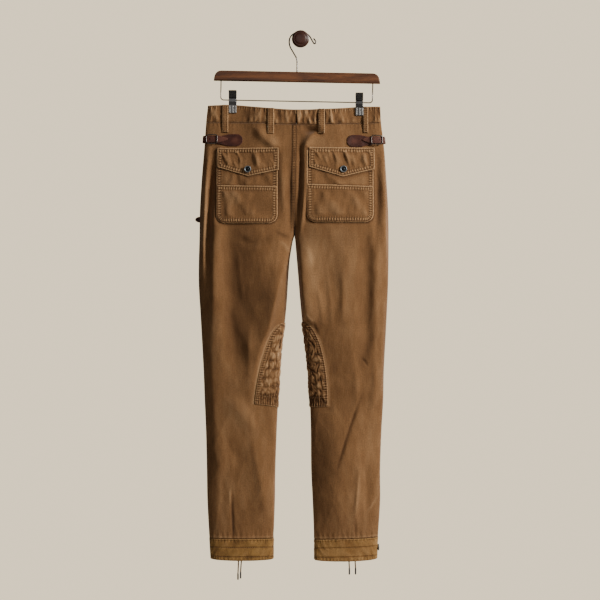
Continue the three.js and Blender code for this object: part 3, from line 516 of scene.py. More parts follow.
cuffShape = {
    "left": {"seamOuter": -1145.4, "seamInner": -1145.4, "hemOuter": -1192, "hemInner": -1192, "dip": 3.6},
    "right": {"seamOuter": -1142.2, "seamInner": -1148.6, "hemOuter": -1191.4, "hemInner": -1194.7, "dip": 4},
}

# creases: three points (x, z), how wide they run to the west and to the east, their rise and how sharp they are (2 is soft)
backCreases = [
    (-195, -300, -197, -500, -197, -720, 12, 24, 7, 1.8),  # left leg, from the side to the inseam
    (-197, -560, -199, -781, -186, -1020, 16, 26, 6, 1.8),
    (-192, -860, -184, -1031, -182, -1200, 22, 20, 5, 1.8),
    (-198, -230, -208, -385, -214, -570, 6, 9, -8, 1.8),
    (-207, -225, -219, -385, -223, -590, 8, 5, 6, 2),
    (-162, -360, -158, -560, -136, -800, 22, 50, -13, 2),
    (-22, -455, -56, -595, -108, -830, 45, 10, 16, 1.3),
    (-178, -560, -138, -652, -96, -770, 15, 19, 3.6, 2),
    (-176, -820, -140, -848, -100, -905, 20, 16, 5, 2),
    (-186, -900, -150, -945, -122, -990, 15, 15, -1.8, 2),
    (-116, -880, -100, -975, -70, -1120, 28, 28, 9, 1.6),
    (-120, -890, -112, -960, -100, -1080, 16, 13, -2.2, 2),
    (-170, -980, -178, -1040, -178, -1130, 10, 10, -2.5, 2),
    (-3, -440, 3, -545, 12, -680, 8, 34, 20, 1.6),  # right leg, from the inseam to the side
    (172, -380, 174, -560, 170, -760, 13, 14, 5, 2),
    (152, -380, 151, -560, 146, -760, 18, 14, -4.6, 2),
    (96, -430, 104, -560, 100, -700, 20, 20, 3, 2),
    (161, -650, 145, -713, 116, -770, 12, 12, -4, 2),
    (170, -700, 172, -792, 158, -880, 10, 9, 4, 2),
    (80, -820, 84, -975, 80, -1180, 42, 62, 13, 2),
    (158, -800, 124, -900, 86, -1010, 12, 30, 1.6, 2),
    (138, -940, 130, -1035, 123, -1130, 10, 5, 4, 1.4),
    (147, -960, 151, -1036, 149, -1110, 6, 12, -4, 2),
    (189, -560, 186, -713, 181, -870, 5, 6, 2, 2),
    (-112, -190, -80, -230, -38, -260, 11, 16, 6.5, 1.7),  # seat
    (-122, -190, -103, -228, -66, -256, 14, 10, -1.4, 2),
    (-3, -204, 22, -210, 58, -217, 9, 9, -8, 2),
    (68, -206, 24, -224, 8, -275, 8, 9, 7.5, 1.6),
    (12, -225, 10, -348, -6, -460, 8, 6, 8.5, 1.8),
    (-2, -215, 0, -325, -8, -450, 5, 6, -6.5, 2),
    (-27, -260, -24, -380, -20, -480, 8, 6, -3, 2),
    (173, -230, 175, -371, 168, -520, 6, 8, -4, 2),
    (189, -230, 193, -371, 195, -560, 10, 5, 6, 2),
    (-36, -240, -42, -330, -34, -430, 7, 12, 4, 1.8),
    (-150, -445, -110, -470, -60, -452, 10, 8, -2.5, 2),
    (92, -520, 96, -585, 92, -660, 5, 8, 1.8, 1.6),
    (60, -540, 67, -600, 72, -670, 5, 7, 1.6, 1.6),
    (34, -560, 46, -610, 50, -670, 5, 7, 2, 1.6),
    (-142, -470, -139, -540, -126, -620, 6, 9, 2, 1.6),
    (-112, -640, -118, -720, -116, -800, 8, 10, 2, 1.8),
    (120, -720, 128, -800, 126, -880, 9, 8, 2.2, 1.8),
]
thinCreases = [
    (-158, -1025, -156, -1088, -153, -1165, 2.2, 3.0, -2.4, 2),
    (145, -800, 105, -912, 76, -1010, 2.6, 3.0, -2.2, 1.8),
    (138, -731, 147, -739, 154, -752, 1.8, 2.5, -1.6, 2),
    (178, -1045, 163, -1068, 149, -1088, 3, 3, 0.9, 2),
    (125, -1086, 125, -1118, 125, -1143, 1.6, 2.2, -1.4, 2),
    (-162, -1026, -161, -1046, -159, -1070, 2.4, 3.0, 1.3, 2),
    (135, -980, 130, -1036, 124, -1100, 3.0, 3.0, 1.0, 1.8),
    (-62, -440, -40, -452, -20, -456, 5, 5, -1.2, 2),
    (-52, -462, -36, -474, -24, -494, 5, 5, 1, 2),
    (10, -470, 20, -492, 26, -530, 6, 6, 0.9, 2),
    (26, -644, 33, -660, 42, -681, 3, 3, -1.6, 2),
    (10, -626, 19, -640, 33, -649, 3.5, 3.5, 1.1, 2),
]
frontCreases = [
    (-165, -420, -122, -560, -108, -720, 14, 12, -8, 2),
    (135, -410, 112, -560, 118, -740, 12, 14, -8, 2),
    (-52, -690, -110, -730, -165, -748, 10, 10, -4, 2),
    (45, -702, 108, -738, 155, -765, 10, 10, -5, 2),
    (-155, -810, -112, -900, -88, -1020, 11, 11, -5, 2),
    (58, -825, 98, -920, 122, -1050, 11, 11, -5, 2),
    (-192, -290, -172, -500, -178, -720, 13, 13, 4, 2),
    (172, -310, 164, -520, 158, -720, 13, 13, 4, 2),
    (-40, -440, -78, -500, -120, -540, 11, 9, -5, 2),
    (14, -436, 48, -498, 88, -540, 9, 11, -5, 2),
    (-60, -300, -100, -350, -150, -380, 10, 10, -2.4, 2),
    (40, -300, 80, -350, 130, -380, 10, 10, -2.4, 2),
    (-60, -705, -110, -760, -160, -775, 6, 6, 2.2, 2),
    (55, -720, 105, -762, 150, -790, 6, 6, 2.2, 2),
    (-70, -800, -110, -830, -150, -846, 7, 7, -2.4, 2),
    (50, -812, 96, -838, 140, -850, 7, 7, -2.4, 2),
    (-180, -900, -150, -1000, -150, -1110, 10, 10, 2.6, 2),
    (150, -900, 130, -1000, 128, -1110, 10, 10, 2.6, 2),
    (-90, -1040, -100, -1090, -120, -1125, 7, 5, -2, 2),
    (50, -1040, 62, -1090, 84, -1125, 5, 7, -2, 2),
]


softRipples = [  # height, wavelength, seed, stretch
    (1.0, 48, 3.1, 2.2),
    (0.62, 20, 7.7, 1.6),
    (0.26, 9, 1.7, 1.5),
]
sharpRipples = [  # height, sharpness, lean, wavelength, seed, stretch, level taken off
    (0.7, 7, -0.3, 44, 5.9, 3.4, 0.3),
    (0.35, 9, 0.35, 27, 8.3, 3.0, 0.1),
]
creaseFade = 0.35  # share of a crease's length over which each end fades out
plainWear = 0.48


def drawn(rows):
    return [(curveThrough([row[0:2], row[2:4], row[4:6]]), *row[6:]) for row in rows]


creases = {"back": drawn(backCreases), "front": drawn(frontCreases), "thin": drawn(thinCreases)}

clips = {"left": -156.0, "right": 135.3}
clipSize = {"left": 18.0, "right": 17.2, "above": 22.0, "below": 30.3, "pinch": 2.75, "hold": 12, "spread": 62, "fade": 70,
            "rib": 3.6, "ribHigh": 1.1}
hanger = {"x": -8.0, "z": -86.2, "tilt": math.radians(1.1), "length": 382.0, "height": 23.0, "thick": 12.0,
          "endRun": 18.0, "rim": 2.2, "wireRadius": 1.25, "legX": 174.5, "bottom": -55.7, "corner": 7.0}

pockets = {  # outlines from the outer side to the inner one
    "left": {
        "flap": {"from": -190, "to": -50, "top": -251, "endOuter": -294.7, "endInner": -301.6, "point": (-119.9, -315.9)},
        "bag": {"from": -192.6, "to": -52.2, "bottom": -424.4, "corner": 20, "hemOuter": -336, "hemInner": -339.4},
        "button": (-120.3, -300),
    },
    "right": {
        "flap": {"from": 169.1, "to": 19.6, "top": -249.9, "endOuter": -299.1, "endInner": -294.7, "point": (95.9, -317.1)},
        "bag": {"from": 166.8, "to": 14.1, "bottom": -422.1, "corner": 20, "hemOuter": -338.2, "hemInner": -333.9},
        "button": (97.7, -299.7),
    },
}
kneePatches = {
    "left": {"top": -651, "bottomOuter": -836.7, "bottomInner": -846.3, "xTop": -37.1, "xBottom": -105.5, "power": 1.3},
    "right": {"top": -649, "bottomOuter": -842.4, "bottomInner": -844.7, "xTop": 4.6, "xBottom": 63.2, "power": 2.2},
}


def wireZ(x):
    return hanger["z"] + hanger["bottom"] / math.cos(hanger["tilt"]) - (x - hanger["x"]) * math.tan(hanger["tilt"])


def seatRound(z):
    return np.sin(math.pi / 2 * np.clip((z - body["crotchZ"]) / body["crotchRise"], 0, 1))


def outerEdge(leg, z):
    return readRows(outline, column[leg], z)


def innerEdge(leg, z):
    return np.where(z > body["crotchZ"], readRows(centreSeam, 1, z), readRows(inseam, column[leg], z))


def shareAcross(s, z):
    return blend((1 - np.cos(np.pi * s)) / 2, 1 - np.cos(np.pi / 2 * s), seatRound(z))


def patchEdge(leg, z):
    row = kneePatches[leg]
    share = np.clip((z - row["bottomOuter"]) / (row["top"] - row["bottomOuter"]), 0, 1)
    return blend(row["xTop"], row["xBottom"], np.sqrt(1 - share ** row["power"]))


def sewnCalm(face, x, z):
    # the cloth is calmer where a pocket or a knee patch is sewn on it
    calm = np.zeros_like(x)
    for leg, side in sideOf.items():
        row = kneePatches[leg]
        beside = smooth(side * (x - patchEdge(leg, z)), -14, 4)
        here = beside * fading(z, row["top"], row["top"] + 14) * smooth(z, row["bottomInner"] - 14, row["bottomInner"])
        calm = np.maximum(calm, np.where(side * (innerEdge(leg, z) - x) > -1, here, 0))
    if face == "back":
        for row in pockets.values():
            bag, top = row["bag"], row["flap"]["top"]
            low, high = sorted((bag["from"], bag["to"]))
            here = smooth(x, low - 8, low + 8) * fading(x, high - 8, high + 8)
            calm = np.maximum(calm, here * fading(z, top - 8, top + 8) * smooth(z, bag["bottom"] - 8, bag["bottom"] + 8))
    return calm


def pinchAt(x, z):
    # 1 where a clip pinches the band, fading along the band and down the cloth below it
    pinch = np.zeros_like(x)
    for clipX in clips.values():
        beside = fading(np.abs(x - clipX), clipSize["hold"], clipSize["spread"])
        below = np.maximum(0, wireZ(clipX) - clipSize["below"] - z)
        pinch = np.maximum(pinch, beside * np.exp(-below / clipSize["fade"]))
    return pinch


def creaseRise(face, x, z):
    total = np.zeros_like(x)
    for line, west, east, rise, power in creases[face]:
        low, high = np.min(line, axis=0), np.max(line, axis=0)
        reach = 4 * max(west, east)
        near = (x > low[0] - reach) & (x < high[0] + reach) & (z > low[1] - reach) & (z < high[1] + reach)
        if not near.any():
            continue
        far, along, eastward, length = nearLine(x[near], z[near], line)
        wide = np.where(eastward < 0, west, east)
        share = np.clip(along / length, 0, 1)
        ends = smooth(share, 0, creaseFade) * smooth(1 - share, 0, creaseFade)
        total[near] += rise * np.exp(-((far / wide) ** power)) * ends
    return total


def section(leg, face, s, z):
    # the plain section: x, and the depth away from the plane of the side seams
    x = blend(outerEdge(leg, z), innerEdge(leg, z), shareAcross(s, z))
    bulge = blend(np.sin(np.pi * s), np.sin(np.pi / 2 * s), seatRound(z))
    full = readRows(outline, 3, z) * (1 if face == "back" else body["frontFullness"])
    roundness = blend(body["roundness"], body["innerRoundness"], smooth(s, 0.45, 0.85) * (1 - seatRound(z)))
    return x, full * np.maximum(bulge, 0) ** roundness


def skin(leg, face, s, z, folded=True):
    # places on the cloth's outer face and the level way out of the body there
    s, z = np.broadcast_arrays(np.asarray(s, float), np.asarray(z, float))
    x, depth = section(leg, face, s, z)
    k = seatRound(z)
    if folded:
        edge = smooth(s, 0, 0.11) * blend(smooth(1 - s, 0, 0.11), 1, k)
        calm = 1 - body["sewnCalm"] * sewnCalm(face, x, z)
        ripples = 0
        for height, wavelength, seed, stretch in softRipples:
            ripples = ripples + height * crumple(x, z, wavelength, seed, stretch)
        for height, sharpness, lean, wavelength, seed, stretch, level in sharpRipples:
            waves = crumple(x + lean * z, z, wavelength, seed, stretch)
            ripples += height * np.exp(-sharpness * np.abs(waves)) - level
        rise = creaseRise(face, x, z) + (creaseRise("thin", x, z) if face == "back" else 0)
        depth = depth + (rise + ripples) * edge * calm
    depth = np.maximum(depth, 0)
    depth = blend(depth, np.minimum(depth, clipSize["pinch"]), pinchAt(x, z))
    side, way = sideOf[leg], -1 if face == "back" else 1
    low, high = np.clip(s - 0.004, 0, 1), np.clip(s + 0.004, 0, 1)
    (x0, d0), (x1, d1) = section(leg, face, low, z), section(leg, face, high, z)
    outX, outY = -side * (d1 - d0), way * np.abs(x1 - x0)
    size = np.hypot(outX, outY) + 1e-9
    place = np.stack([x, body["hangY"] + way * depth, z], axis=-1)
    return place, np.stack([outX / size, outY / size, np.zeros_like(x)], axis=-1)


def shareAt(leg, x, z):
    # the share s of a point that lies at x on one face
    want = (x - outerEdge(leg, z)) / (innerEdge(leg, z) - outerEdge(leg, z))
    low, high = np.zeros_like(want), np.ones_like(want)
    for _ in range(22):
        middle = (low + high) / 2
        under = shareAcross(middle, z) < want
        low, high = np.where(under, middle, low), np.where(under, high, middle)
    return low


def skinAt(leg, face, x, z):
    x, z = np.broadcast_arrays(np.asarray(x, float), np.asarray(z, float))
    return skin(leg, face, shareAt(leg, x, z), z)


def skinAround(leg, a, z):
    # round the leg: 0 is the side seam, 1 the inner seam by the back, and 2 or 0 again by the front
    a, z = np.broadcast_arrays(np.asarray(a, float), np.asarray(z, float))
    s = np.where(a < 0, -a, np.where(a > 1, 2 - a, a))
    back = ((a >= 0) & (a <= 1))[..., None]
    backPlace, backOut = skin(leg, "back", s, z)
    frontPlace, frontOut = skin(leg, "front", s, z)
    return np.where(back, backPlace, frontPlace), np.where(back, backOut, frontOut)


def seamHeight(leg, s, level):
    # heights follow the waist seam at the top of a panel and the cuff seam at its bottom
    row, blendOver = cuffShape[leg], 90
    x = blend(outerEdge(leg, level), innerEdge(leg, level), shareAcross(s, level))
    waistShift = readRows(waistLine, 2, x) - body["waistSeam"]
    cuffShift = blend(row["seamOuter"], row["seamInner"], s) - body["cuffSeam"]
    nearWaist = smooth(level, body["waistSeam"] - blendOver, body["waistSeam"])
    nearCuff = fading(level, body["cuffSeam"], body["cuffSeam"] + blendOver)
    return level + waistShift * nearWaist + cuffShift * nearCuff


# ---- cloth pieces: a grid whose points are moved onto the surface, then thickened inwards


def arcAcross(place):
    steps = np.linalg.norm(np.diff(place, axis=1), axis=2)
    return np.concatenate([np.zeros((place.shape[0], 1)), np.cumsum(steps, axis=1)], axis=1)


def clothPiece(name, across, down, shape, thick, material, closed=False):
    # shape gives places, ways out and wear with painted light and shade for the grid's shares across and down, or for
    # even ones by count
    across, down = [np.linspace(0, 1, share) if isinstance(share, int) else share for share in (across, down)]
    bm = bmesh.new()
    columns, rows = len(across) - 1, len(down) - 1
    bmesh.ops.create_grid(bm, x_segments=columns, y_segments=rows, size=0.5)
    mesh = bpy.data.meshes.new(name)
    bm.to_mesh(mesh)
    bm.free()
    at = np.empty(len(mesh.vertices) * 3)
    mesh.vertices.foreach_get("co", at)
    at = at.reshape(-1, 3)
    col = np.rint((at[:, 0] + 0.5) * columns).astype(int)
    row = np.rint((0.5 - at[:, 1]) * rows).astype(int)
    u, v = np.meshgrid(across, down)
    place, out, wearAndShading = shape(u, v)
    mesh.vertices.foreach_set("co", (place[row, col] * mm).ravel())
    layer = mesh.uv_layers.new(name="weave")
    corners = np.empty(len(mesh.loops), int)
    mesh.loops.foreach_get("vertex_index", corners)
    arc = arcAcross(place) / 10
    flat = np.stack([arc, place[..., 2] / 10], axis=-1)[row, col]
    layer.data.foreach_set("uv", flat[corners].ravel())
    mesh.attributes.new("wearAndShading", "FLOAT", "POINT").data.foreach_set("value", np.clip(wearAndShading, 0, 1)[row, col])
    mesh.update()
    facing = np.empty(len(mesh.vertices) * 3)
    mesh.vertices.foreach_get("normal", facing)
    turned = (facing.reshape(-1, 3) * out[row, col]).sum() < 0
    bm = bmesh.new()
    bm.from_mesh(mesh)
    if turned:
        bmesh.ops.reverse_faces(bm, faces=bm.faces)
    if closed:
        bmesh.ops.remove_doubles(bm, verts=bm.verts, dist=1e-5)
    bm.to_mesh(mesh)
    bm.free()
    mesh.polygons.foreach_set("use_smooth", [True] * len(mesh.polygons))
    piece = linkObject(name, mesh, material)
    addModifier(piece, "SOLIDIFY", thickness=thick * mm, offset=-1.0)
    return piece


stitch = {"long": 2.5, "pitch": 3.3, "wide": 0.62, "high": 0.5}


def sewStitches(name, rows, material):
    # rows are lists of (places, directions, ways out, length); one grain is arrayed and each copy set in place
    places, ways, outs, longs = [np.concatenate([row[i] for row in rows]) for i in range(4)]
    bm = bmesh.new()
    bmesh.ops.create_uvsphere(bm, u_segments=6, v_segments=4, radius=0.5)
    piece = meshFrom(bm, name, material)
    grain = np.array([vert.co[:] for vert in piece.data.vertices])
    array = addModifier(piece, "ARRAY", count=len(places), use_relative_offset=False, use_constant_offset=True)
    array.constant_offset_displace = (2, 0, 0)
    bakeModifiers(piece)
    ways = ways / np.linalg.norm(ways, axis=1, keepdims=True)
    acrossWays = np.cross(outs, ways)
    acrossWays /= np.linalg.norm(acrossWays, axis=1, keepdims=True)
    ups = np.cross(ways, acrossWays)
    frames = np.stack([acrossWays * stitch["wide"], ups * stitch["high"], ways * longs[:, None]], axis=1)
    spots = np.einsum("gk,nkc->ngc", grain, frames) + places[:, None, :]
    piece.data.vertices.foreach_set("co", (spots * mm).ravel())
    piece.data.update()
    return finishPiece(piece)


def evenly(line, pitch, inset=0.0, start=0.0, stop=0.0):
    # points at even steps along a line of (x, z), moved to its left by inset
    line = np.array(line, float)
    far = np.r_[0, np.cumsum(np.linalg.norm(np.diff(line, axis=0), axis=1))]
    count = max(2, int(round((far[-1] - start - stop) / pitch)))
    at = np.linspace(start + pitch / 2, far[-1] - stop - pitch / 2, count)
    x, z = np.interp(at, far, line[:, 0]), np.interp(at, far, line[:, 1])
    ahead = np.array([np.interp(at + 1, far, line[:, i]) - np.interp(at - 1, far, line[:, i]) for i in (0, 1)])
    ahead /= np.linalg.norm(ahead, axis=0)
    return x - ahead[1] * inset, z + ahead[0] * inset


def stitchRow(surface, x, z, long=None):
    # surface gives places and ways out on a piece's outer face
    place, out = surface(x, z)
    way = np.gradient(place, axis=0)
    return place + out * 0.06, way, out, np.full(len(x), long or stitch["long"])


def pucker(far, along, band, pitch, seed):
    # ridges across a sewn edge, strongest in the middle of the sewn band
    wander = 0.7 * crumple(along, far, 19, seed)
    strength = np.clip(0.95 + 0.7 * crumple(along, far, 22, seed + 4), 0.5, 1.4)
    ridges = np.cos(2 * math.pi * (along / pitch + wander * 0.45))
    return (ridges * 0.8 + 0.2 * np.cos(4 * math.pi * along / pitch)) * strength * bell(far - band * 0.5, band * 0.52)


# ---- leg panels


def bagOutline(bag, top, border=0.0, steps=8):
    # down the outer side, round the corners and up the inner side
    way = math.copysign(1, bag["to"] - bag["from"])
    x0, x1 = bag["from"] + way * border, bag["to"] - way * border
    corner, bottom = bag["corner"], bag["bottom"] + border
    turn = np.linspace(0, math.pi / 2, steps)
    first = [(x0 + way * corner * (1 - math.cos(t)), bottom + corner * (1 - math.sin(t))) for t in turn]
    second = [(x1 - way * corner * (1 - math.sin(t)), bottom + corner * (1 - math.cos(t))) for t in turn]
    return [(x0, top[0]), *first, *second, (x1, top[1])]


panelGrid = {"back": {"across": 104, "down": 336}, "front": {"across": 44, "down": 180}}


paintedLightAndShade = [  # patches painted lighter and darker on the back, as painted light and shade: x, z, half width, half height, share
    (24, -530, 22, 110, 0.15),
    (-74, -600, 30, 80, -0.12),
    (-218, -425, 7, 100, 0.2),
    (44, -1000, 24, 110, -0.09),
    (-204, -1000, 12, 120, -0.08),
    (96, -500, 50, 80, 0.08),
    (-140, -870, 40, 40, 0.07),
    (-70, -240, 30, 18, 0.1),
    (40, -240, 26, 16, 0.08),
    (22, -214, 30, 8, -0.16),
    (60, -930, 45, 90, -0.05),
    (-126, -576, 50, 70, -0.06),
    (44, -318, 50, 90, 0.04),
]


def panelWearAndShading(face, leg, place, s, k):
    x, z = place[..., 0], place[..., 2]
    # creases painted darker in their troughs and a little paler on their crests, as painted shade and highlight
    wearAndShading = plainWear + np.clip(creaseRise(face, x, z) / 45, -0.14, 0.05)
    wearAndShading += 0.05 * crumple(x, z, 60, 11.3, 1.6) + 0.09 * crumple(x, z, 11, 2.3, 3.5)
    wearAndShading -= 0.3 * bell(s * 30, 1.0)  # grime along the side seam's groove
    wearAndShading -= 0.3 * bell((1 - s) * 30, 1.0) * (1 - k)
    if face == "back":
        # painted patches of light and shade
        for atX, atZ, halfX, halfZ, share in paintedLightAndShade:
            wearAndShading += share * np.exp(-(((x - atX) / halfX) ** 2) - ((z - atZ) / halfZ) ** 2)
        # thin creases painted darker and paler by their rise, as painted shade and highlight
        wearAndShading += 0.2 * creaseRise("thin", x, z)
        bag, flap = pockets[leg]["bag"], pockets[leg]["flap"]
        # painted shadow round the pocket's outline on the panel
        far = nearLine(x, z, bagOutline(bag, (flap["top"], flap["top"])))[0]
        wearAndShading -= 0.45 * bell(far, 2.6)
        patch = kneePatches[leg]
        beside = bell(x - patchEdge(leg, z) + sideOf[leg] * 2, 2.6) * smooth(z, patch["bottomOuter"] - 3, patch["bottomOuter"] + 3)
        wearAndShading += 0.3 * beside * fading(z, patch["top"] - 6, patch["top"] + 4)
    return wearAndShading


def legPanel(leg, face):
    size = panelGrid[face]
    levels = np.linspace(body["waistSeam"], body["cuffSeam"] + 0.2, size["down"] + 1)

    def shape(u, v):
        z = seamHeight(leg, u, v)
        place, out = skin(leg, face, u, z)
        x, k = place[..., 0], seatRound(z)
        toWaist = body["waistSeam"] - v
        toCuff = v - body["cuffSeam"]
        fromCentre = np.abs(x - innerEdge(leg, z))
        rise = 0.5 * pucker(toWaist, x, 12, 9, 1.7) * smooth(toWaist, 0, 3)
        rise += 0.7 * pucker(toCuff, x, 16, 11, 5.2) * smooth(toCuff, 0, 3)
        seam = k * (1 if leg == "left" else 0.25)
        rise += seam * 0.7 * fading(fromCentre, 7.6, 9.6) * smooth(k, 0, 0.3)
        felled = pucker(fromCentre, z, 8.6, 5.2, 9.4)
        rise += seam * 0.8 * felled
        rise *= smooth(np.minimum(u, 0.12), 0, 0.12)
        wearAndShading = panelWearAndShading(face, leg, place, u, k)
        wearAndShading += 0.25 * bell(toCuff - 4, 2) - 0.45 * bell(toCuff, 2) - 0.35 * bell(toWaist, 2)
        # down the seat seam: puckers painted paler on their crests and darker between, as painted highlight and shade,
        # a dark joint down its middle, and painted shade lines in its stitching groove and beside its folded edge
        wearAndShading += seam * (0.34 * felled - 0.1 * fading(fromCentre, 7.6, 9.6) - 0.4 * bell(fromCentre, 1.4)
                        - 0.2 * bell(fromCentre - 7.2, 1.0))
        wearAndShading -= 0.3 * seam * bell(fromCentre - 9.4, 1.4)
        return place + out * rise[..., None], out, wearAndShading

    across = np.interp(np.linspace(0, 1, size["across"] + 1), (0, 0.87, 1), (0, 0.95, 1))  # closer columns by the seat seam
    return clothPiece(f"{face}_{leg}", across, levels, shape, body["clothWall"], canvas)


def addPanels():
    for leg in sideOf:
        for face in ("back", "front"):
            piece = finishPiece(legPanel(leg, face), [f"{face}_panel_{leg}"])


addPanels()
print("leg panels hung")

# ---- waistband

waistband = {"topRow": 3.2, "seamRow": 2.6, "puckers": {"left": 0.8, "right": 1.1}}


def liftedSurface(leg, face, lift=0.0):
    # places and ways out at x, z on a face lifted off the cloth
    def surface(x, z):
        place, out = skinAt(leg, face, x, z)
        return place + out * lift, out
    return surface


def waistbandPiece(leg, face):
    middle = np.array(blend(waistLine[0, 1], waistLine[0, 2], 0.5))
    strength = waistband["puckers"][leg] if face == "back" else 0.35

    def shape(u, v):
        x = blend(outerEdge(leg, middle), innerEdge(leg, middle), shareAcross(u, middle))
        top, seam = readRows(waistLine, 1, x), readRows(waistLine, 2, x) + 0.2
        z = blend(top, seam, v)
        place, out = skin(leg, face, u, z)
        down, up = top - z, z - seam
        calm = 1 - 0.85 * pinchAt(x, z)
        rise = strength * 1.1 * pucker(down, x, 15, 11.5, 3.3) * calm
        rise += strength * 1.1 * pucker(up, x + 4, 16, 12.5, 6.8) * calm
        rise += strength * 2.6 * crumple(x + 0.35 * z, z, 13, 8.1, 2.4) * calm
        rise -= 0.35 * bell(down - waistband["topRow"], 1.3) + 0.35 * bell(up - waistband["seamRow"], 1.3)
        rise -= 0.7 * fading(down, 0, 1.8)
        if face == "back":
            rise += (0.8 if leg == "right" else -0.4) * fading(np.abs(x - innerEdge(leg, z)), 2, 14)
        rise *= smooth(u, 0, 0.05)
        # the band's colour follows its relief, paler on pucker crests and darker in their dips, as painted highlight
        # and shade; the pale top edge is rubbed wear; the dark lines along its lower edge and its top stitching are
        # painted shade, the one at the centre seam its dark joint
        wearAndShading = plainWear + 0.4 * bell(down, 1.8) + 0.1 * crumple(x, z, 20, 1.1) + 0.26 * rise
        wearAndShading += 0.4 * pucker(down - 1, x, 8, 5.4, 4.4)
        wearAndShading -= 0.3 * bell(up, 1.4) + 0.2 * bell(down - waistband["topRow"], 1.1)
        wearAndShading -= 0.35 * bell(np.abs(x - innerEdge(leg, z)), 1.5)
        return place + out * rise[..., None], out, wearAndShading

    piece = clothPiece(f"waistband_{face}_{leg}_cloth", 151, 25, shape, body["bandWall"], canvas)
    finishPiece(piece, [f"waistband_{face}_{leg}"])


def waistStitches():
    rows = []
    for leg, side in sideOf.items():
        for face in ("back", "front"):
            surface = liftedSurface(leg, face, 0.1)
            x = np.linspace(outerEdge(leg, -170.0) + side * 2, innerEdge(leg, -170.0) - side * 1.5, 60)
            for column, offset in ((1, -waistband["topRow"]), (2, waistband["seamRow"]), (2, -2.4)):
                line = list(zip(x, readRows(waistLine, column, x) + offset))
                rows.append(stitchRow(surface, *evenly(line, stitch["pitch"])))
    for offset in (1.5, 7.2):  # the felled seam down the seat
        z = np.linspace(-197, -446, 40)
        line = list(zip(readRows(centreSeam, 1, z) - offset, z))
        rows.append(stitchRow(liftedSurface("left", "back", 0.65), *evenly(line, stitch["pitch"])))
    sewStitches("seat_stitches", rows, tanThread)
    # the left calf's dart: close dark stitches that are its stitching and also the painted shade line of its fold
    z = np.linspace(-1046, -1143, 12)
    dart = list(zip(np.interp(z, (-1143, -1088, -1046), (-153, -156, -158)), z))
    sewStitches("calf_dart_and_shade_line", [stitchRow(liftedSurface("left", "back", 0.15), *evenly(dart, 3.0), long=4.2)], darkThread)
    z = np.linspace(-1088, -1140, 8)
    dart = list(zip(np.full(8, 122.0), z))
    sewStitches("calf_dart_stitches", [stitchRow(liftedSurface("right", "back", 0.1), *evenly(dart, 4.4))], darkThread)


for legName in sideOf:
    for faceName in ("back", "front"):
        waistbandPiece(legName, faceName)
waistStitches()
print("waistband sewn")

# ---- back pockets

pocketPieces = {
    "bag": {"name": "pocket_", "lift": 0.0, "seed": 2.2, "grid": (110, 64), "flat": (0.145, 0.17)},
    "lower": {"name": "pocket_lower_", "lift": 1.5, "seed": 4.6, "grid": (118, 80), "flat": (0.14, 0.086)},
    "flap": {"name": "pocket_flap_", "lift": 2.0, "seed": 6.9, "grid": (118, 54), "flat": (0.145, 0.066)},
}
pocketSew = {"lift": 0.25, "wall": 1.2, "rows": (3.8, 9.4), "band": 9.5, "edge": 1.9, "pitch": 5.8, "puckers": 1.0}


def flapOutline(flap):
    return [(flap["from"], flap["top"]), (flap["from"], flap["endOuter"]), flap["point"],
            (flap["to"], flap["endInner"]), (flap["to"], flap["top"])]


def hemAt(bag, x):
    # height of the lower panel's hem
    share = np.clip((x - bag["from"]) / (bag["to"] - bag["from"]), 0, 1)
    return blend(bag["hemOuter"], bag["hemInner"], share)


def notUnder(value, floor):
    # eases a rise up to its floor, so that a piece stays clear of what it lies on
    return floor + np.logaddexp(0, 2.4 * (value - floor)) / 2.4


def pocketRise(piece, leg):
    # how a pocket piece's outer face rises over its plain wall, at x, z
    row = pockets[leg]
    bag, flap = row["bag"], row["flap"]
    seed = pocketPieces[piece]["seed"] + (3 if leg == "right" else 0)
    if piece == "flap":
        line, topLine = flapOutline(flap), [(flap["from"], flap["top"]), (flap["to"], flap["top"])]
    else:
        line = bagOutline(bag, (flap["top"], flap["top"]), 1.5 if piece == "lower" else 0.0)
        topLine = [(bag["from"], bag["hemOuter"]), (bag["to"], bag["hemInner"])]

    def rise(x, z):
        far, along, _, _ = nearLine(x, z, line)
        total = pocketSew["puckers"] * pucker(far - pocketSew["edge"], along, pocketSew["band"], pocketSew["pitch"], seed)
        total -= 0.3 * fading(far, 0, 1.0) + 0.25 * sum(bell(far - inset, 0.9) for inset in pocketSew["rows"])
        inside = far
        if piece != "bag":
            high, run, _, _ = nearLine(x, z, topLine)
            total += 0.95 * pucker(high - pocketSew["edge"], run, 9.5, 5.9, seed + 1)
            total -= 0.3 * sum(bell(high - inset, 0.9) for inset in pocketSew["rows"])
            inside = np.minimum(far, high)
        folds = 4.2 * crumple(x + 0.4 * z, z, 25, seed, 2.4) + 1.6 * crumple(x - 0.15 * z, z, 12, seed, 2.2)
        total += (0.35 + folds) * smooth(inside, 7, 22)
        if piece == "bag":
            total *= smooth(z - hemAt(bag, x), -2, 1)
            edge = sorted(flapOutline(flap)[1:4])
            under = np.interp(x, [at[0] for at in edge], [at[1] for at in edge]) - z
            total = -notUnder(-total, -0.5 - 3 * smooth(under, 2, 20))
        if piece == "flap":
            buttonX, buttonZ = row["button"]
            gathers = 4.2 * crumple(x + 0.3 * z, z, 9.5, seed + 2, 3.4)
            total += gathers * smooth(z, flap["point"][1] + 8, flap["top"] - 30) * smooth(inside, 6, 12)
            total -= 0.7 * bell(np.hypot(x - buttonX, z - buttonZ), 10)
        return total if piece == "bag" else notUnder(total, -0.45)

    return rise


def pocketSurface(piece, leg):
    lift = pocketPieces[piece]["lift"] + pocketSew["lift"] + pocketSew["wall"]
    rise = pocketRise(piece, leg)

    def surface(x, z):
        place, out = skinAt(leg, "back", x, z)
        return place + out * (lift + rise(x, z))[..., None], out

    return surface


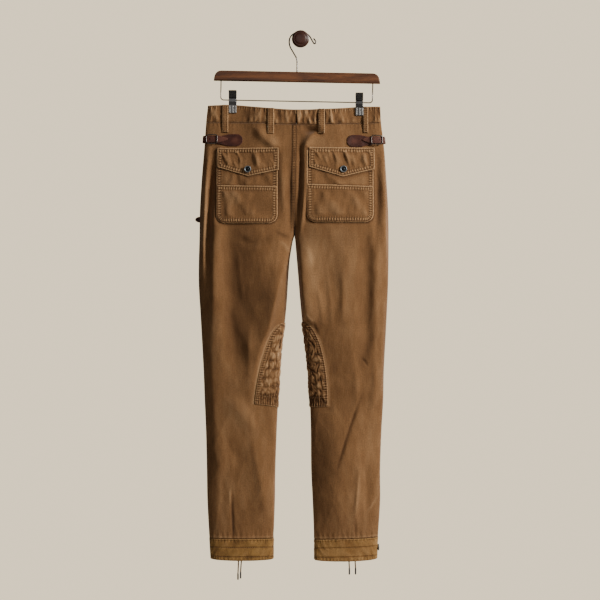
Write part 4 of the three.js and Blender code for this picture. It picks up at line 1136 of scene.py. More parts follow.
def pocketWearAndShading(piece, leg, x, z):
    row = pockets[leg]
    bag, flap = row["bag"], row["flap"]
    line = flapOutline(flap) if piece == "flap" else bagOutline(bag, (flap["top"],) * 2)
    far = nearLine(x, z, line)[0]
    rise = pocketRise(piece, leg)(x, z)
    band = fading(far, 9.6, 11.4)
    if piece == "flap":
        band = np.maximum(band, smooth(z, flap["top"] - 11.5, flap["top"] - 9.8))
        far = np.minimum(far, flap["top"] - z)
    if piece == "lower":
        down = hemAt(bag, x) - z
        band = np.maximum(band, fading(down, 9.6, 11.4))
        far = np.minimum(far, down)
    # the sewn band's puckers painted paler on their crests and darker in their dips, as painted highlight and shade;
    # the pale outer edge is rubbed wear; the dark lines in the stitching grooves and along the lower panel's hem are
    # painted shade
    beads = np.clip(rise + 0.1, -1, 1) * band * smooth(far, 3.2, 4.6)
    wearAndShading = plainWear - 0.06 * band + 0.9 * np.maximum(beads, 0) + 0.5 * np.minimum(beads, 0)
    wearAndShading += 0.6 * fading(far, 1.9, 2.9)
    wearAndShading -= 0.5 * bell(far - 3.8, 1.0) + 0.3 * bell(far - 10.4, 1.0)
    wearAndShading += 0.12 * crumple(x, z, 30, 5.5) + 0.05 * rise
    if piece == "bag":
        wearAndShading -= 0.35 * bell(z - hemAt(bag, x), 1.6)
        wearAndShading -= 0.32 * bell(nearLine(x, z, flapOutline(flap)[1:4])[0], 4.5)  # shade under the flap
    return wearAndShading


def pocketPiece(piece, leg):
    row = pockets[leg]
    bag, flap = row["bag"], row["flap"]
    surface = pocketSurface(piece, leg)
    way = math.copysign(1, bag["to"] - bag["from"])

    def corners(u, z, border):
        into = np.clip((bag["bottom"] + border + bag["corner"] - z) / bag["corner"], 0, 1)
        inset = way * (border + bag["corner"] * (1 - np.sqrt(1 - into**2)))
        return blend(bag["from"] + inset, bag["to"] - inset, u)

    def shape(u, v):
        if piece == "bag":
            z = blend(flap["top"] - 6, bag["bottom"] + 0.02, v)
            x = corners(u, z, 0)
        elif piece == "lower":
            z = blend(blend(bag["hemOuter"], bag["hemInner"], u), bag["bottom"] + 1.52, v)
            x = corners(u, z, 1.5)
        else:
            x = blend(flap["from"], flap["to"], u)
            tip = (flap["point"][0] - flap["from"]) / (flap["to"] - flap["from"])
            toTip = np.where(u < tip, u / tip, (1 - u) / (1 - tip))
            drop = blend(flap["endOuter"], flap["endInner"], tip) - flap["point"][1]
            z = blend(flap["top"], blend(flap["endOuter"], flap["endInner"], u) - drop * toTip, v)
        place, out = surface(x, z)
        return place, out, pocketWearAndShading(piece, leg, x, z)

    across, down = pocketPieces[piece]["grid"]
    rows = np.linspace(0, 1, down + 1)
    if piece == "bag":  # most of its rows lie in the strip that shows between the flap and the hem
        rows = np.interp(rows, (0, 0.12, 0.8, 1), (0, 0.2, 0.56, 1))
    name = pocketPieces[piece]["name"] + leg
    made = clothPiece(name + "_cloth", across + 1, rows, shape, pocketSew["wall"], canvas)
    finishPiece(made, [name])


def pocketStitches(leg):
    row, side = pockets[leg], sideOf[leg]
    bag, flap = row["bag"], row["flap"]
    upper = bagOutline(bag, (flap["endOuter"], flap["endInner"]))
    lines = [  # piece, line, and the way from the line to its stitches
        ("bag", [upper[0], (upper[0][0], bag["hemOuter"])], side),
        ("bag", [(upper[-1][0], bag["hemInner"]), upper[-1]], side),
        ("lower", bagOutline(bag, (bag["hemOuter"], bag["hemInner"]), 1.5), side),
        ("lower", [(bag["from"] + side * 2, bag["hemOuter"]), (bag["to"] - side * 2, bag["hemInner"])], -side),
        ("flap", flapOutline(flap), side),
        ("flap", [(flap["from"] + side * 2, flap["top"]), (flap["to"] - side * 2, flap["top"])], -side),
    ]
    rows = [stitchRow(pocketSurface(piece, leg), *evenly(line, stitch["pitch"], way * inset))
            for inset in pocketSew["rows"] for piece, line, way in lines]
    sewStitches(f"pocket_stitches_{leg}", rows, tanThread)


for legName in sideOf:
    for pieceName in ("bag", "lower", "flap"):
        pocketPiece(pieceName, legName)
    pocketStitches(legName)
print("pockets sewn")

# ---- knee patches, wrapped round the inseams

# tone sets each patch's base colour; the right patch's darker tone is painted shade
patchSew = {"lift": 0.3, "wall": 1.2, "quiltPitch": 20.0, "band": 9.0, "dense": 24.0,
            "tone": {"left": 0.38, "right": 0.28}, "seed": {"left": 12.5, "right": 17.1}}


def patchRise(leg, arc, z, toEdge, alongEdge):
    row = kneePatches[leg]
    seed = patchSew["seed"][leg]
    up = z - row["bottomOuter"]
    cell = np.abs(((up / patchSew["quiltPitch"]) % 1) - 0.5) * 2  # 1 on a quilted row, 0 between two
    billow = np.sqrt(np.clip(1 - cell**2, 0, 1))
    dense = fading(up, patchSew["dense"] - 3, patchSew["dense"] + 3)
    inner = smooth(toEdge, 4, patchSew["band"] + 2)
    total = 1.3 * billow * (1 - dense)
    tier = np.floor(up / patchSew["quiltPitch"])
    total += 0.5 * np.cos(2 * math.pi * (arc / 9.5 + 0.37 * tier + 1.3 * crumple(arc, z, 17, seed))) * (1 - 0.4 * billow)
    total += 1.3 * crumple(arc, z, 8.5, seed + 1, 1.5)
    total -= 1.7 * np.exp(-9 * np.abs(crumple(arc, z, 10, seed + 3, 2.2))) * inner
    for column in (16, 38):
        total -= 0.8 * bell(arc - column - 3 * crumple(z, z, 40, seed + column), 1.6)
    total += dense * 0.6 * np.cos(2 * math.pi * arc / 5.5 + crumple(arc, z, 12, seed))
    return total * inner + 1.0 * pucker(toEdge, alongEdge, patchSew["band"], 5.4, seed) - 0.5 * fading(toEdge, 0, 1.6)


def kneePatch(leg):
    row = kneePatches[leg]

    def shape(u, v):
        inward = 1 - np.abs(2 * u - 1)
        z = blend(row["top"], blend(row["bottomOuter"], row["bottomInner"], inward), v)
        edge = shareAt(leg, patchEdge(leg, z), z)
        place, out = skinAround(leg, blend(edge, 2 - edge, u), z)
        arc = arcAcross(place)
        arc = np.abs(arc - arc[:, arc.shape[1] // 2][:, None])
        toSide = arc[:, :1] - arc
        toBottom = (1 - v) * (row["top"] - row["bottomOuter"])
        toEdge = np.minimum(toSide, toBottom)
        alongEdge = np.where(toSide < toBottom, z, arc)
        rise = patchRise(leg, arc, z, toEdge, alongEdge)
        # the patch's colour follows its quilted relief, paler high and darker low, as painted highlight and shade; its
        # pale edge is rubbed wear, and the dark line inside its stitching is painted shade in the groove
        wearAndShading = patchSew["tone"][leg] + 0.32 * rise + 0.1 * crumple(arc, z, 25, 4.4) + 0.5 * fading(toEdge, 1.4, 2.6)
        wearAndShading += 0.4 * pucker(toEdge - 1.5, alongEdge, 8, 5.4, patchSew["seed"][leg]) - 0.35 * bell(toEdge - 3.4, 1.0)
        height = patchSew["lift"] + patchSew["wall"] + rise * smooth(v, 0, 0.03)
        return place + out * height[..., None], out, wearAndShading

    down = np.linspace(0, 1, 117) ** 1.2
    name = f"knee_patch_{leg}"
    piece = finishPiece(clothPiece(name + "_cloth", 109, down, shape, patchSew["wall"], canvas), [name])


def patchStitches(leg):
    row, side = kneePatches[leg], sideOf[leg]
    surface = liftedSurface(leg, "back", patchSew["lift"] + patchSew["wall"] + 0.2)
    z = np.linspace(row["top"] - 6, row["bottomOuter"], 40)
    edge = list(zip(patchEdge(leg, z), z))
    rows = [stitchRow(surface, *evenly(edge, stitch["pitch"], side * inset)) for inset in (1.8, 6.4)]
    for level in np.arange(row["bottomOuter"] + 2, row["top"] - 30, patchSew["quiltPitch"]):
        start, stop = float(patchEdge(leg, level)), float(innerEdge(leg, level))
        x = np.linspace(start + side * 2, stop - side * 2, 12)
        line = list(zip(x, level + (row["bottomInner"] - row["bottomOuter"]) * np.linspace(0, 1, 12)))
        rows.append(stitchRow(surface, *evenly(line, stitch["pitch"])))
    sewStitches(f"knee_stitches_{leg}", rows, tanThread)


for legName in sideOf:
    kneePatch(legName)
    patchStitches(legName)
print("knee patches sewn")

# ---- cuffs

cuffSew = {"rows": (2.6, 19, 40.5), "lift": 0.5, "tone": {"left": 0.46, "right": 0.64}}


def cuffSurface(leg):
    row = cuffShape[leg]
    seed = 21.3 if leg == "left" else 25.9

    def height(a, v, arc):
        s = np.where(a > 1, 2 - a, a)
        top = blend(row["seamOuter"], row["seamInner"], s) - 0.15
        hem = blend(row["hemOuter"], row["hemInner"], s) - row["dip"] * np.sin(np.pi * s)
        z = blend(top, hem, v)
        down = top - z
        rise = cuffSew["lift"] - 0.7 * fading(down, 0, 1.4) - 0.5 * fading(z - hem, 0, 1.6)
        for line in cuffSew["rows"]:
            rise = rise - 0.45 * bell(down - line, 1.3)
        waves = crumple(arc + 0.5 * down, down, 9, seed, 2.0)
        rise = rise + 0.85 * waves * smooth(down, 1, 5) * smooth(z - hem, 1, 5)
        rise = rise + 0.6 * pucker(down, arc, 7, 5.8, seed + 1) + 0.5 * pucker(z - hem, arc, 8, 6.4, seed + 2)
        return z, down, rise

    return height


def cuff(leg):
    height = cuffSurface(leg)

    def shape(u, v):
        a = u * 2 % 2
        arc = u * 310
        z, down, rise = height(a, v, arc)
        place, out = skinAround(leg, a, z)
        seamless = smooth(np.minimum(u, 1 - u), 0, 0.02)
        rise = blend(cuffSew["lift"], rise, seamless)
        # paler where the cuff's relief is high and darker where it is low, as painted highlight and shade, a pale
        # rubbed top edge, and dark lines at the stitched rows as painted shade in their grooves
        wearAndShading = cuffSew["tone"][leg] + 0.36 * (rise - 0.4) + 0.14 * crumple(arc, z, 22, 3.8)
        wearAndShading += 0.45 * bell(down - 0.6, 1.6) - 0.4 * sum(bell(down - line, 1.2) for line in cuffSew["rows"])
        return place + out * rise[..., None], out, wearAndShading

    piece = clothPiece(f"cuff_{leg}_cloth", 237, 37, shape, body["bandWall"], cuffCanvas, closed=True)
    finishPiece(piece, [f"cuff_{leg}"])


def cuffStitches(leg):
    height = cuffSurface(leg)
    rows = []
    for line in cuffSew["rows"]:
        a = np.linspace(0.0, 2.0, 96)[:-1]
        z, _, _ = height(a, np.full(a.shape, line / 48.5), a * 155)
        place, out = skinAround(leg, a, z)
        place = place + out * (cuffSew["lift"] - 0.1)
        rows.append((place, np.roll(place, -1, 0) - np.roll(place, 1, 0), out, np.full(len(a), stitch["long"])))
    sewStitches(f"cuff_stitches_{leg}", rows, ochreThread)


for legName in sideOf:
    cuff(legName)
    cuffStitches(legName)
print("cuffs sewn")

# ---- belt loops

loopSize = {"wall": 1.6, "lift": 2.7, "bow": 1.6, "stitchInset": 2.3}
beltLoops = {  # face, leg, middle, width, lower end
    "side_left": ("back", "left", -172.4, 13.6, -214.2),
    "back_left": ("back", "left", -67.9, 14.6, -217.6),
    "back_right": ("back", "right", 48.2, 14.6, -217.2),
    "side_right": ("back", "right", 149.6, 10.6, -214.8),
    "front_left": ("front", "left", -112, 14, -216),
    "front_right": ("front", "right", 94, 14, -216),
}


def beltLoop(name):
    face, leg, x0, width, bottom = beltLoops[name]
    top = float(readRows(waistLine, 1, float(x0))) - 0.2
    seed = 30 + x0 / 50

    def lift(v):
        return loopSize["lift"] + loopSize["bow"] * np.sin(np.pi * v) ** 2

    def shape(u, v):
        x, z = x0 + (u - 0.5) * width, blend(top, bottom, v)
        place, out = skinAt(leg, face, x, z)
        toSide = (0.5 - np.abs(u - 0.5)) * width
        ridges = pucker(toSide, z, 5.5, 4.6, seed)
        rise = lift(v) - 0.7 * fading(toSide, 0, 1.6) - 0.2 * bell(toSide - loopSize["stitchInset"], 0.8)
        rise += 0.55 * ridges + 0.4 * crumple(x, z, 9, seed)
        # pucker ridges painted paler and their dips darker, as painted highlight and shade, with a painted shade line
        # in the stitching groove; the pale edges are rubbed wear
        wearAndShading = 0.46 + 0.5 * fading(toSide, 1.0, 2.4) + 0.3 * ridges - 0.4 * bell(toSide - 3.2, 0.9)
        wearAndShading += 0.15 * bell(v - 0.5, 0.25)
        return place + out * rise[..., None], out, wearAndShading

    piece = clothPiece(f"belt_loop_{name}_cloth", 15, 49, shape, loopSize["wall"], canvas)
    finishPiece(piece, [f"belt_loop_{name}"])

    rows = []
    for offset in (-1, 1):
        z = np.linspace(top - 2, bottom + 2, 20)
        v = (z - top) / (bottom - top)
        place, out = skinAt(leg, face, np.full(20, x0 + offset * (width / 2 - loopSize["stitchInset"])), z)
        rows.append((place + out * (lift(v) - 0.1)[..., None], np.gradient(place, axis=0), out, np.full(20, 2.3)))
    for z0 in (top - 3, bottom + 2.6):  # bar tacks
        x = np.linspace(x0 - width / 2 + 1.6, x0 + width / 2 - 1.6, 11)
        place, out = skinAt(leg, face, x, np.full(11, z0))
        v = (z0 - top) / (bottom - top)
        rows.append((place + out * lift(v), np.tile((0.12, 0, 1.0), (11, 1)), out, np.full(11, 2.6)))
    return rows


loopRows = [row for name in beltLoops for row in beltLoop(name)]
sewStitches("belt_loop_stitches", loopRows, tanThread)
print("belt loops sewn")

# ---- leather adjusters, buckles and the side tab

cinches = {
    "left": {"tabEnd": -132.6, "tabFrom": -191.5, "top": -218.4, "bottom": -246.2, "tip": -166.5, "buckleX": -202, "frontEnd": -186},
    "right": {"tabEnd": 106.7, "tabFrom": 163, "top": -220, "bottom": -248.2, "tip": 141.6, "buckleX": 173.5, "frontEnd": 160},
}
leather = {"wall": 1.8, "lift": 0.5, "round": 14.0, "narrowEnd": 0.68, "strapWidth": 16.0, "above": 2.4, "standOff": 3.4}
buckle = {"length": 25.5, "height": 22.6, "wire": 2.1, "corner": 5.0}


def tabHalf(row, far):
    length = abs(row["tabEnd"] - row["tabFrom"])
    toEnd = np.clip((length - far) / leather["round"], 0, 1)
    widening = blend(leather["narrowEnd"], 1, smooth(far, 4, 30))
    return (row["top"] - row["bottom"]) / 2 * widening * blend(0.12, 1, np.sqrt(1 - (1 - toEnd) ** 2))


def cinchTab(leg):
    row = cinches[leg]
    middle, length = (row["top"] + row["bottom"]) / 2, abs(row["tabEnd"] - row["tabFrom"])
    way = math.copysign(1, row["tabEnd"] - row["tabFrom"])

    def shape(u, v):
        far = length * u
        half = tabHalf(row, far)
        x, z = row["tabFrom"] + way * far, middle + half * (1 - 2 * v)
        toEdge = np.minimum(half * (1 - np.abs(1 - 2 * v)), (length - far) * 1.2 + 0.001)
        place, out = skinAt(leg, "back", x, z)
        rise = leather["lift"] + leather["wall"] - 0.6 * fading(toEdge, 0, 1.5) - 0.3 * bell(toEdge - 2.6, 0.8)
        rise += 0.15 * crumple(x, z, 12, 41.0)
        wearAndShading = 0.42 + 0.4 * fading(toEdge, 0.2, 1.5) + 0.2 * crumple(x, z, 14, 44.0)
        wearAndShading += 0.35 * bell((far - length * 0.72), 9) * bell(z - middle, 7) - 0.3 * fading(far, 0, length * 0.35)
        return place + out * rise[..., None], out, wearAndShading

    across = 1 - (1 - np.linspace(0, 1, 61)) ** 1.6
    name = f"cinch_tab_{leg}"
    piece = clothPiece(name + "_leather", across, 31, shape, leather["wall"], tabLeather)
    finishPiece(piece, [name])
    rows = []
    for sign in (1, -1):
        far = np.linspace(3, length - 3.2, 40)
        line = list(zip(row["tabFrom"] + way * far, middle + sign * np.maximum(tabHalf(row, far) - 2.6, 0.5)))
        rows.append(stitchRow(liftedSurface(leg, "back", leather["lift"] + leather["wall"] - 0.15), *evenly(line, 2.6), long=1.9))
    sewStitches(f"cinch_tab_stitches_{leg}", rows, darkThread)


def strapLift(a, tipAt):
    overTab = leather["lift"] + leather["wall"] + 0.5
    back = blend(leather["standOff"], overTab, smooth(a, 0, tipAt * 0.5))
    front = blend(leather["standOff"], leather["lift"], smooth(-a, 0, 0.16))
    return np.where(a < 0, front, back)


def strapLine(leg):
    row = cinches[leg]
    middle = (row["top"] + row["bottom"]) / 2 + leather["above"]
    z = np.array(middle)
    tipAt, endAt = [float(shareAt(leg, np.array(float(row[end])), z)) for end in ("tip", "frontEnd")]
    return middle, tipAt, -endAt


def cinchStrap(leg):
    middle, tipAt, endAt = strapLine(leg)

    def halfAt(u):
        return leather["strapWidth"] / 2 * blend(0.14, 1, np.clip(u / 0.12, 0, 1) ** 0.8)

    def shape(u, v):
        a, half = blend(tipAt, endAt, u), halfAt(u)
        z = middle + half * (1 - 2 * v)
        place, out = skinAround(leg, a, z)
        toEdge = half * (1 - np.abs(1 - 2 * v))
        rise = strapLift(a, tipAt) + leather["wall"] - 0.5 * fading(toEdge, 0, 1.4) - 0.25 * bell(toEdge - 2.2, 0.7)
        # the punched hole is dented and painted dark, as painted shade inside it
        hole = bell(np.hypot((u - 0.3) * 95, z - middle), 1.3)
        wearAndShading = 0.52 + 0.35 * fading(toEdge, 0.2, 1.3) + 0.25 * crumple(place[..., 0], z, 11, 47.0) - 0.5 * hole
        wearAndShading -= 0.35 * smooth(u, 0.5, 0.62)
        return place + out * (rise - 0.9 * hole)[..., None], out, wearAndShading

    name = f"cinch_strap_{leg}"
    piece = clothPiece(name + "_leather", 97, 21, shape, leather["wall"], strapLeather)
    finishPiece(piece, [name])
    rows = []
    for sign in (1, -1):
        u = np.linspace(0.1, 0.98, 34)
        a = blend(tipAt, endAt, u)
        z = middle + sign * (halfAt(u) - 2.2)
        place, out = skinAround(leg, a, z)
        place = place + out * (strapLift(a, tipAt) + leather["wall"] - 0.15)[..., None]
        rows.append((place, np.gradient(place, axis=0), out, np.full(len(u), 1.9)))
    sewStitches(f"cinch_strap_stitches_{leg}", rows, darkThread)


def sweptPiece(name, points, radius, material, closed=False):
    # round wire along a line of points in metres, made a mesh
    curve = linkObject(name + "_line", wireCurve(name, points, radius, 4, closed), material)
    graph = bpy.context.evaluated_depsgraph_get()
    mesh = bpy.data.meshes.new_from_object(curve.evaluated_get(graph), depsgraph=graph)
    bpy.data.objects.remove(curve)
    bm = bmesh.new()
    bm.from_mesh(mesh)
    bmesh.ops.remove_doubles(bm, verts=bm.verts, dist=1e-6)
    bmesh.ops.recalc_face_normals(bm, faces=bm.faces)
    bm.to_mesh(mesh)
    bm.free()
    mesh.name = name
    mesh.polygons.foreach_set("use_smooth", [True] * len(mesh.polygons))
    return linkObject(name, mesh)


def slab(corners, move):
    # a flat outline drawn out by a move, all in millimetres
    bm = bmesh.new()
    face = bm.faces.new([bm.verts.new([c * mm for c in corner]) for corner in corners])
    made = bmesh.ops.extrude_face_region(bm, geom=[face])
    moved = [item for item in made["geom"] if isinstance(item, bmesh.types.BMVert)]
    bmesh.ops.translate(bm, verts=moved, vec=[c * mm for c in move])
    bmesh.ops.recalc_face_normals(bm, faces=bm.faces)
    return bm


def roundOff(bm, edges, radius, segments):
    bmesh.ops.bevel(bm, geom=edges, offset=radius * mm, affect="EDGES", segments=segments, profile=0.5, material=-1)


def roundedLoop(halfLong, halfHigh, corner, steps=7):
    turn = np.linspace(0, math.pi / 2, steps)
    loop = []
    for quarter, (sx, sz) in enumerate([(1, 1), (-1, 1), (-1, -1), (1, -1)]):
        order = turn if quarter % 2 == 0 else turn[::-1]
        loop += [(sx * (halfLong - corner + corner * math.cos(t)), sz * (halfHigh - corner + corner * math.sin(t))) for t in order]
    return np.array(loop)


def cinchBuckle(leg):
    row = cinches[leg]
    middle, tipAt, _ = strapLine(leg)
    wire = buckle["wire"]
    loop = roundedLoop((buckle["length"] - wire) / 2, (buckle["height"] - wire) / 2, buckle["corner"])
    x, z = row["buckleX"] + loop[:, 0], middle + loop[:, 1]
    a = shareAt(leg, x, z)
    place, out = skinAround(leg, a, z)
    lift = strapLift(a, tipAt) + leather["wall"] + 0.3 + wire / 2
    place = place + out * lift[..., None]
    name = f"cinch_buckle_{leg}"
    piece = sweptPiece(name + "_wire", place * mm, wire / 2 * mm, buckleSteel, closed=True)
    finishPiece(piece, [name])


sideTab = {"z": -414.0, "reach": 11.0, "height": 13.6, "wall": 2.0}


def addSideTab():
    # a stiff leather arrowhead in the left side seam
    z, reach, height = sideTab["z"], sideTab["reach"], sideTab["height"]
    root = float(outerEdge("left", z)) + 0.6
    turn = np.linspace(-0.5 * math.pi, 0.5 * math.pi, 13)
    y = body["hangY"] - sideTab["wall"] / 2
    corners = [(root - reach * math.cos(t) ** 0.8, y, z + height / 2 * math.sin(t) * (1 - 0.18 * math.cos(t)))
               for t in turn]
    bm = slab(corners, (0, sideTab["wall"], 0))
    roundOff(bm, bm.edges[:], 0.4, 3)
    piece = meshFrom(bm, "side_tab_leather", tabLeather)
    piece.data.attributes.new("wearAndShading", "FLOAT", "POINT").data.foreach_set("value", [0.45] * len(piece.data.vertices))
    finishPiece(piece, ["side_tab_left"])


for legName in sideOf:
    cinchTab(legName)
    cinchStrap(legName)
    cinchBuckle(legName)
addSideTab()
print("leather and buckles fitted")

# ---- buttons: a rolled rim round a dark well with a sewn stud

buttons = {"radius": 7.8, "rim": 1.9, "thick": 3.2, "cuffZ": -1167.0, "waist": ([-11.0], [-178.0])}


def outwardMatrix(place, out):
    turn = Vector(out).to_track_quat("Z", "Y").to_matrix().to_4x4()
    return Matrix.Translation(Vector(place) * mm) @ turn


def addButton(name, place, out, lift):
    radius, rim, thick = buttons["radius"], buttons["rim"], buttons["thick"]
    turn = np.linspace(-0.2, math.pi + 0.35, 9)
    roll = [(radius - rim / 2 + rim / 2 * math.cos(t), thick - rim / 2 + rim / 2 * math.sin(t)) for t in turn]
    profile = [(0, 0), (radius - 1.6, 0), (radius - 0.5, thick * 0.35), *roll, (radius - rim - 0.6, thick * 0.5),
               (radius * 0.42, thick * 0.42), (radius * 0.36, thick * 0.62), (radius * 0.2, thick * 0.7), (0, thick * 0.7)]
    matrix = outwardMatrix(place + out * lift, out)
    piece = spunPiece(name + "_metal", profile, matrix, buttonMetal, 36)
    piece.data.materials.append(buttonWell)
    centre = Vector(place + out * lift) * mm
    for face in piece.data.polygons:
        across = face.center - centre
        flat = (across - Vector(out) * across.dot(Vector(out))).length
        face.material_index = 1 if radius * 0.12 * mm < flat < (radius - rim - 0.5) * mm else 0
    finishPiece(piece, [name])


def addButtons():
    for leg, row in pockets.items():
        x, z = row["button"]
        place, out = skinAt(leg, "back", [x], [z])
        addButton(f"pocket_button_{leg}", place[0], out[0], 4.6)
    for leg, a in (("left", -0.32), ("right", 0.0)):
        place, out = skinAround(leg, [a], [buttons["cuffZ"]])
        addButton(f"cuff_button_{leg}", place[0], np.array((1.0, 0, 0)) if leg == "right" else out[0], 0.7)
    place, out = skinAt("left", "front", *buttons["waist"])
    addButton("waist_button", place[0], out[0], 0.9)


addButtons()
print("buttons set")

# ---- fly

fly = {"width": 36.0, "top": -200.0, "bottom": -372.0, "lift": 0.4, "wall": 1.2}


def flyX(share, z):
    v = (z - fly["top"]) / (fly["bottom"] - fly["top"])
    curve = np.sqrt(np.maximum(0, 1 - np.maximum(0, (v - 0.72) / 0.28) ** 2))
    return innerEdge("left", z) - 0.6 - fly["width"] * blend(0.18, 1, curve) * share


def addFly():
    def shape(u, v):
        z = blend(fly["top"], fly["bottom"], v)
        x = flyX(u, z)
        toEdge = np.minimum(np.abs(x - flyX(1, z)), (1 - v) * 172)
        place, out = skinAt("left", "front", x, z)
        rise = fly["lift"] + fly["wall"] - 0.5 * fading(toEdge, 0, 1.6) + 0.25 * pucker(toEdge, z, 9, 6.2, 51.0)
        wearAndShading = 0.5 + 0.25 * fading(toEdge, 0.4, 2) + 0.12 * crumple(x, z, 16, 52.0)
        return place + out * rise[..., None], out, wearAndShading

    piece = clothPiece("fly_cloth", 25, 91, shape, fly["wall"], canvas)
    finishPiece(piece, ["fly_placket"])
    surface = liftedSurface("left", "front", fly["lift"] + fly["wall"] - 0.05)
    rows = []
    for inset in (2.0, 7.6):
        z = np.linspace(fly["top"] - 2, fly["bottom"] + 3, 50)
        rows.append(stitchRow(surface, *evenly(list(zip(flyX(1 - inset / fly["width"], z), z)), stitch["pitch"])))
    sewStitches("fly_stitches", rows, tanThread)


addFly()
print("fly sewn")

# ---- peg, hanger and clips


def addPeg():
    profile = [(0, 0), (9.6, 0), (9.9, 1.2), (10.4, 4), (11.4, 10), (12.6, 18), (13.7, 26), (14.7, 33), (15.4, 38),
               (15.4, 43.6), (16.2, 44.8), (18.0, 46.0), (19.2, 48), (19.9, 50.5), (19.8, 52.6), (19.1, 54.8), (17.8, 56.6),
               (16.2, 57.7), (14.9, 57.9), (14.2, 57.5), (13.6, 57.8), (12.5, 58.5), (9, 59.2), (5, 59.6), (0, 59.8)]
    piece = spunPiece("peg_wood", profile, Matrix.Rotation(math.pi / 2, 4, "X"), pegWood, 64)
    finishPiece(piece, ["wall_peg"])


hookLine = [(-8, -74.4), (-8, -50), (-9.6, -42), (-13.6, -34.5), (-18.6, -26), (-23.6, -17), (-25.8, -7.6), (-25.2, 1),
            (-21.6, 8.6), (-14, 14.6), (-2.3, 17.3), (9, 15.4), (18.4, 10.6), (25.3, 0.8), (28.8, -5.6), (32.2, -9.4),
            (35, -6.4), (33.4, -1.4), (29.9, 2.8)]


def addHook():
    y = body["hangY"]
    route = smoothRoute([(x, y, z) for x, z in hookLine], 150) * mm
    piece = sweptPiece("hook_wire", route, 1.6 * mm, darkSteel)
    finishPiece(piece, ["hanger_hook"])


def leanMatrix():
    move = Matrix.Translation((hanger["x"] * mm, body["hangY"] * mm, hanger["z"] * mm))
    return move @ Matrix.Rotation(hanger["tilt"], 4, "Y")


def addBar():
    half, high, thick = hanger["length"] / 2, hanger["height"] / 2, hanger["thick"] / 2
    turn = np.linspace(0, 1, 7)
    endCurve = [(half - 0.5 * 2 * t * (1 - t) - hanger["endRun"] * t * t,
                 -high + 2 * high * (2 * t * (1 - t) + t * t)) for t in turn]
    shape = [(-half, -high), *endCurve, *[(-x, z) for x, z in endCurve[:0:-1]]]
    bm = slab([(x, -thick, z) for x, z in shape], (0, 2 * thick, 0))
    rims = [edge for edge in bm.edges if abs(edge.verts[0].co.y - edge.verts[1].co.y) < 1e-6]
    roundOff(bm, rims, hanger["rim"], 4)
    bmesh.ops.transform(bm, matrix=leanMatrix(), verts=bm.verts)
    piece = meshFrom(bm, "bar_wood", barWood)
    finishPiece(piece, ["hanger_bar"])


def addWire():
    legX, bottom, corner = hanger["legX"], hanger["bottom"], hanger["corner"]
    top = -hanger["height"] / 2 - 0.1
    turn = np.linspace(0, math.pi / 2, 8)
    right = [(legX - corner + corner * math.sin(t), bottom + corner - corner * math.cos(t)) for t in turn]
    line = [(-legX, top), *[(-x, z) for x, z in right[::-1]], *right, (legX, top)]
    lean = leanMatrix()
    route = [lean @ Vector((x * mm, 0, z * mm)) for x, z in line]
    piece = sweptPiece("bar_wire", route, hanger["wireRadius"] * mm, darkSteel)
    finishPiece(piece, ["hanger_wire"])


def platePiece(name, corners, wide, x, z, material, bevel=0.3, ribs=()):
    # a profile of (y, z) made wide along x, with upright ribs of bright steel pressed into its face
    bm = slab([(-wide / 2, a, b) for a, b in corners], (wide, 0, 0))
    roundOff(bm, bm.edges[:], bevel, 2)
    plain = set(bm.faces)
    for ribX, ribY, low, high in ribs:
        size = Matrix.Diagonal((clipSize["rib"] * mm, clipSize["ribHigh"] * mm, (high - low) * mm, 1))
        middle = Matrix.Translation((ribX * mm, ribY * mm, (low + high) / 2 * mm))
        rib = bmesh.ops.create_cube(bm, size=1, matrix=middle @ size)
        roundOff(bm, list({edge for vert in rib["verts"] for edge in vert.link_edges}), 0.4, 2)
    for ribFace in set(bm.faces) - plain:
        ribFace.material_index = 1
    at = Matrix.Translation((x * mm, body["hangY"] * mm, z * mm))
    bmesh.ops.transform(bm, matrix=at, verts=bm.verts)
    piece = meshFrom(bm, name, material, smooth=False)
    if ribs:
        piece.data.materials.append(brightSteel)
    return piece


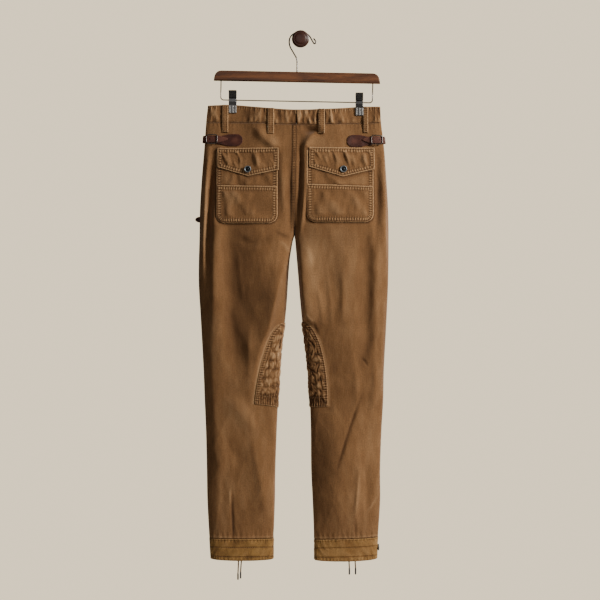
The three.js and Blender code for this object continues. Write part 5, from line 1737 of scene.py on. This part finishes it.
def addClip(leg):
    x, wide = clips[leg], clipSize[leg]
    z = wireZ(x)
    face, plate = clipSize["pinch"] + 0.5, 1.5
    sleeve = {"radius": 4.0, "bore": hanger["wireRadius"] + 0.35, "half": (wide - 4) / 2}
    neck = sleeve["radius"] + 0.35
    jaw = [(face, -clipSize["below"]), (face + plate * 1.2, -clipSize["below"]), (face + plate, -12), (neck + plate, -4),
           (neck + plate, 3), (neck, 3), (neck, -4), (face, -12)]
    mirrored = [(-y, b) for y, b in jaw[::-1]]
    ribRows = [(offset * wide, -clipSize["below"] + 0.8, -12.4) for offset in (-0.38, 0.02, 0.38)]
    ribsFront = [(offset, -(face + plate), low, high) for offset, low, high in ribRows]
    ribsBack = [(offset, face + plate, low, high) for offset, low, high in ribRows]
    name = f"clip_{leg}_"
    near = platePiece(name + "jaw_near", mirrored, wide, x, z, darkSteel, ribs=ribsFront)
    beyond = platePiece(name + "jaw_far", jaw, wide, x, z, darkSteel, ribs=ribsBack)
    finishPiece(near, [name + "jaw_back"])
    finishPiece(beyond, [name + "jaw_front"])

    radius, bore, half = sleeve["radius"], sleeve["bore"], sleeve["half"]
    ring = [(bore, -half), (radius - 0.3, -half), (radius, -half + 0.3), (radius, half - 0.3), (radius - 0.3, half), (bore, half), (bore, -half)]
    turn = Matrix.Rotation(math.pi / 2 + hanger["tilt"], 4, "Y")
    place = Matrix.Translation((x * mm, body["hangY"] * mm, z * mm))
    finishPiece(spunPiece(name + "tube", ring, place @ turn, brightSteel, 32), [name + "sleeve"])

    ribs, low = 5, 4.6

    def arm(height):
        return float(blend(neck + 1.6, 9.2, smooth(np.array(height), low, clipSize["above"])))

    side = []
    for i in range(2 * ribs + 1):
        height = blend(low, clipSize["above"], i / (2 * ribs))
        side.append((arm(height) - (0 if i % 2 else 1.3), height))
    halfShape = [*side, (arm(clipSize["above"]) - 3.2, clipSize["above"]), (2, low + 3.2)]
    grip = [*halfShape, *[(-y, b) for y, b in halfShape[::-1]]]
    finishPiece(platePiece(name + "pad", grip, wide, x, z, gripRubber, 0.25), [name + "grip"])


addPeg()
addHook()
addBar()
addWire()
for legName in sideOf:
    addClip(legName)
print("peg, hanger and clips made")

# ---- floor, world and light

studio = {"floor": (0.58, 0.55, 0.5, 1), "air": (1.36, 1.14, 0.8, 1), "airStrength": 1.0, "bounce": (0.5, 0.44, 0.36, 1),
          "bounceStrength": 0.13, "floorZ": -1.62}


def addStage():
    bm = bmesh.new()
    bmesh.ops.create_circle(bm, cap_ends=True, segments=96, radius=1.15)
    bmesh.ops.translate(bm, verts=bm.verts, vec=(0, 0, studio["floorZ"]))
    material, tree, shader = newMaterial("floor paint", Roughness=0.85)
    shader.inputs["Base Color"].default_value = studio["floor"]
    meshFrom(bm, "floor", material, smooth=False)
    world = bpy.data.worlds.new("air")
    bpy.context.scene.world = world
    world.use_nodes = True
    tree = world.node_tree
    seen = tree.nodes["Background"]
    seen.inputs["Color"].default_value = studio["air"]
    seen.inputs["Strength"].default_value = studio["airStrength"]
    bounced = addNode(tree, "ShaderNodeBackground", {"Color": studio["bounce"], "Strength": studio["bounceStrength"]})
    ray = addNode(tree, "ShaderNodeLightPath")
    mixed = addNode(tree, "ShaderNodeMixShader", {0: ray.outputs["Is Camera Ray"], 1: bounced.outputs[0], 2: seen.outputs[0]})
    tree.links.new(mixed.outputs[0], tree.nodes["World Output"].inputs["Surface"])


lamps = {  # place, size, watts, colour
    "key": ((2.85, -1.7, 0.85), 0.8, 165.0, (1.0, 0.93, 0.84)),
    "fill": ((-0.5, -3.4, 0.55), 1.8, 11.0, (0.97, 0.97, 1.0)),
    "behind": ((2.4, 2.2, 0.6), 1.1, 100.0, (1.0, 0.95, 0.88)),
}


def addLamps():
    for name, (place, size, watts, colour) in lamps.items():
        data = bpy.data.lights.new(name, "AREA")
        data.size = size
        data.energy = watts
        data.color = colour
        lamp = bpy.data.objects.new(name, data)
        lamp.location = place
        lamp.visible_camera = False
        aim = Vector((-0.02, -0.04, -0.6)) - Vector(place)
        lamp.rotation_euler = aim.to_track_quat("-Z", "Y").to_euler()
        bpy.context.scene.collection.objects.link(lamp)


addStage()
addLamps()
print("stage lit")
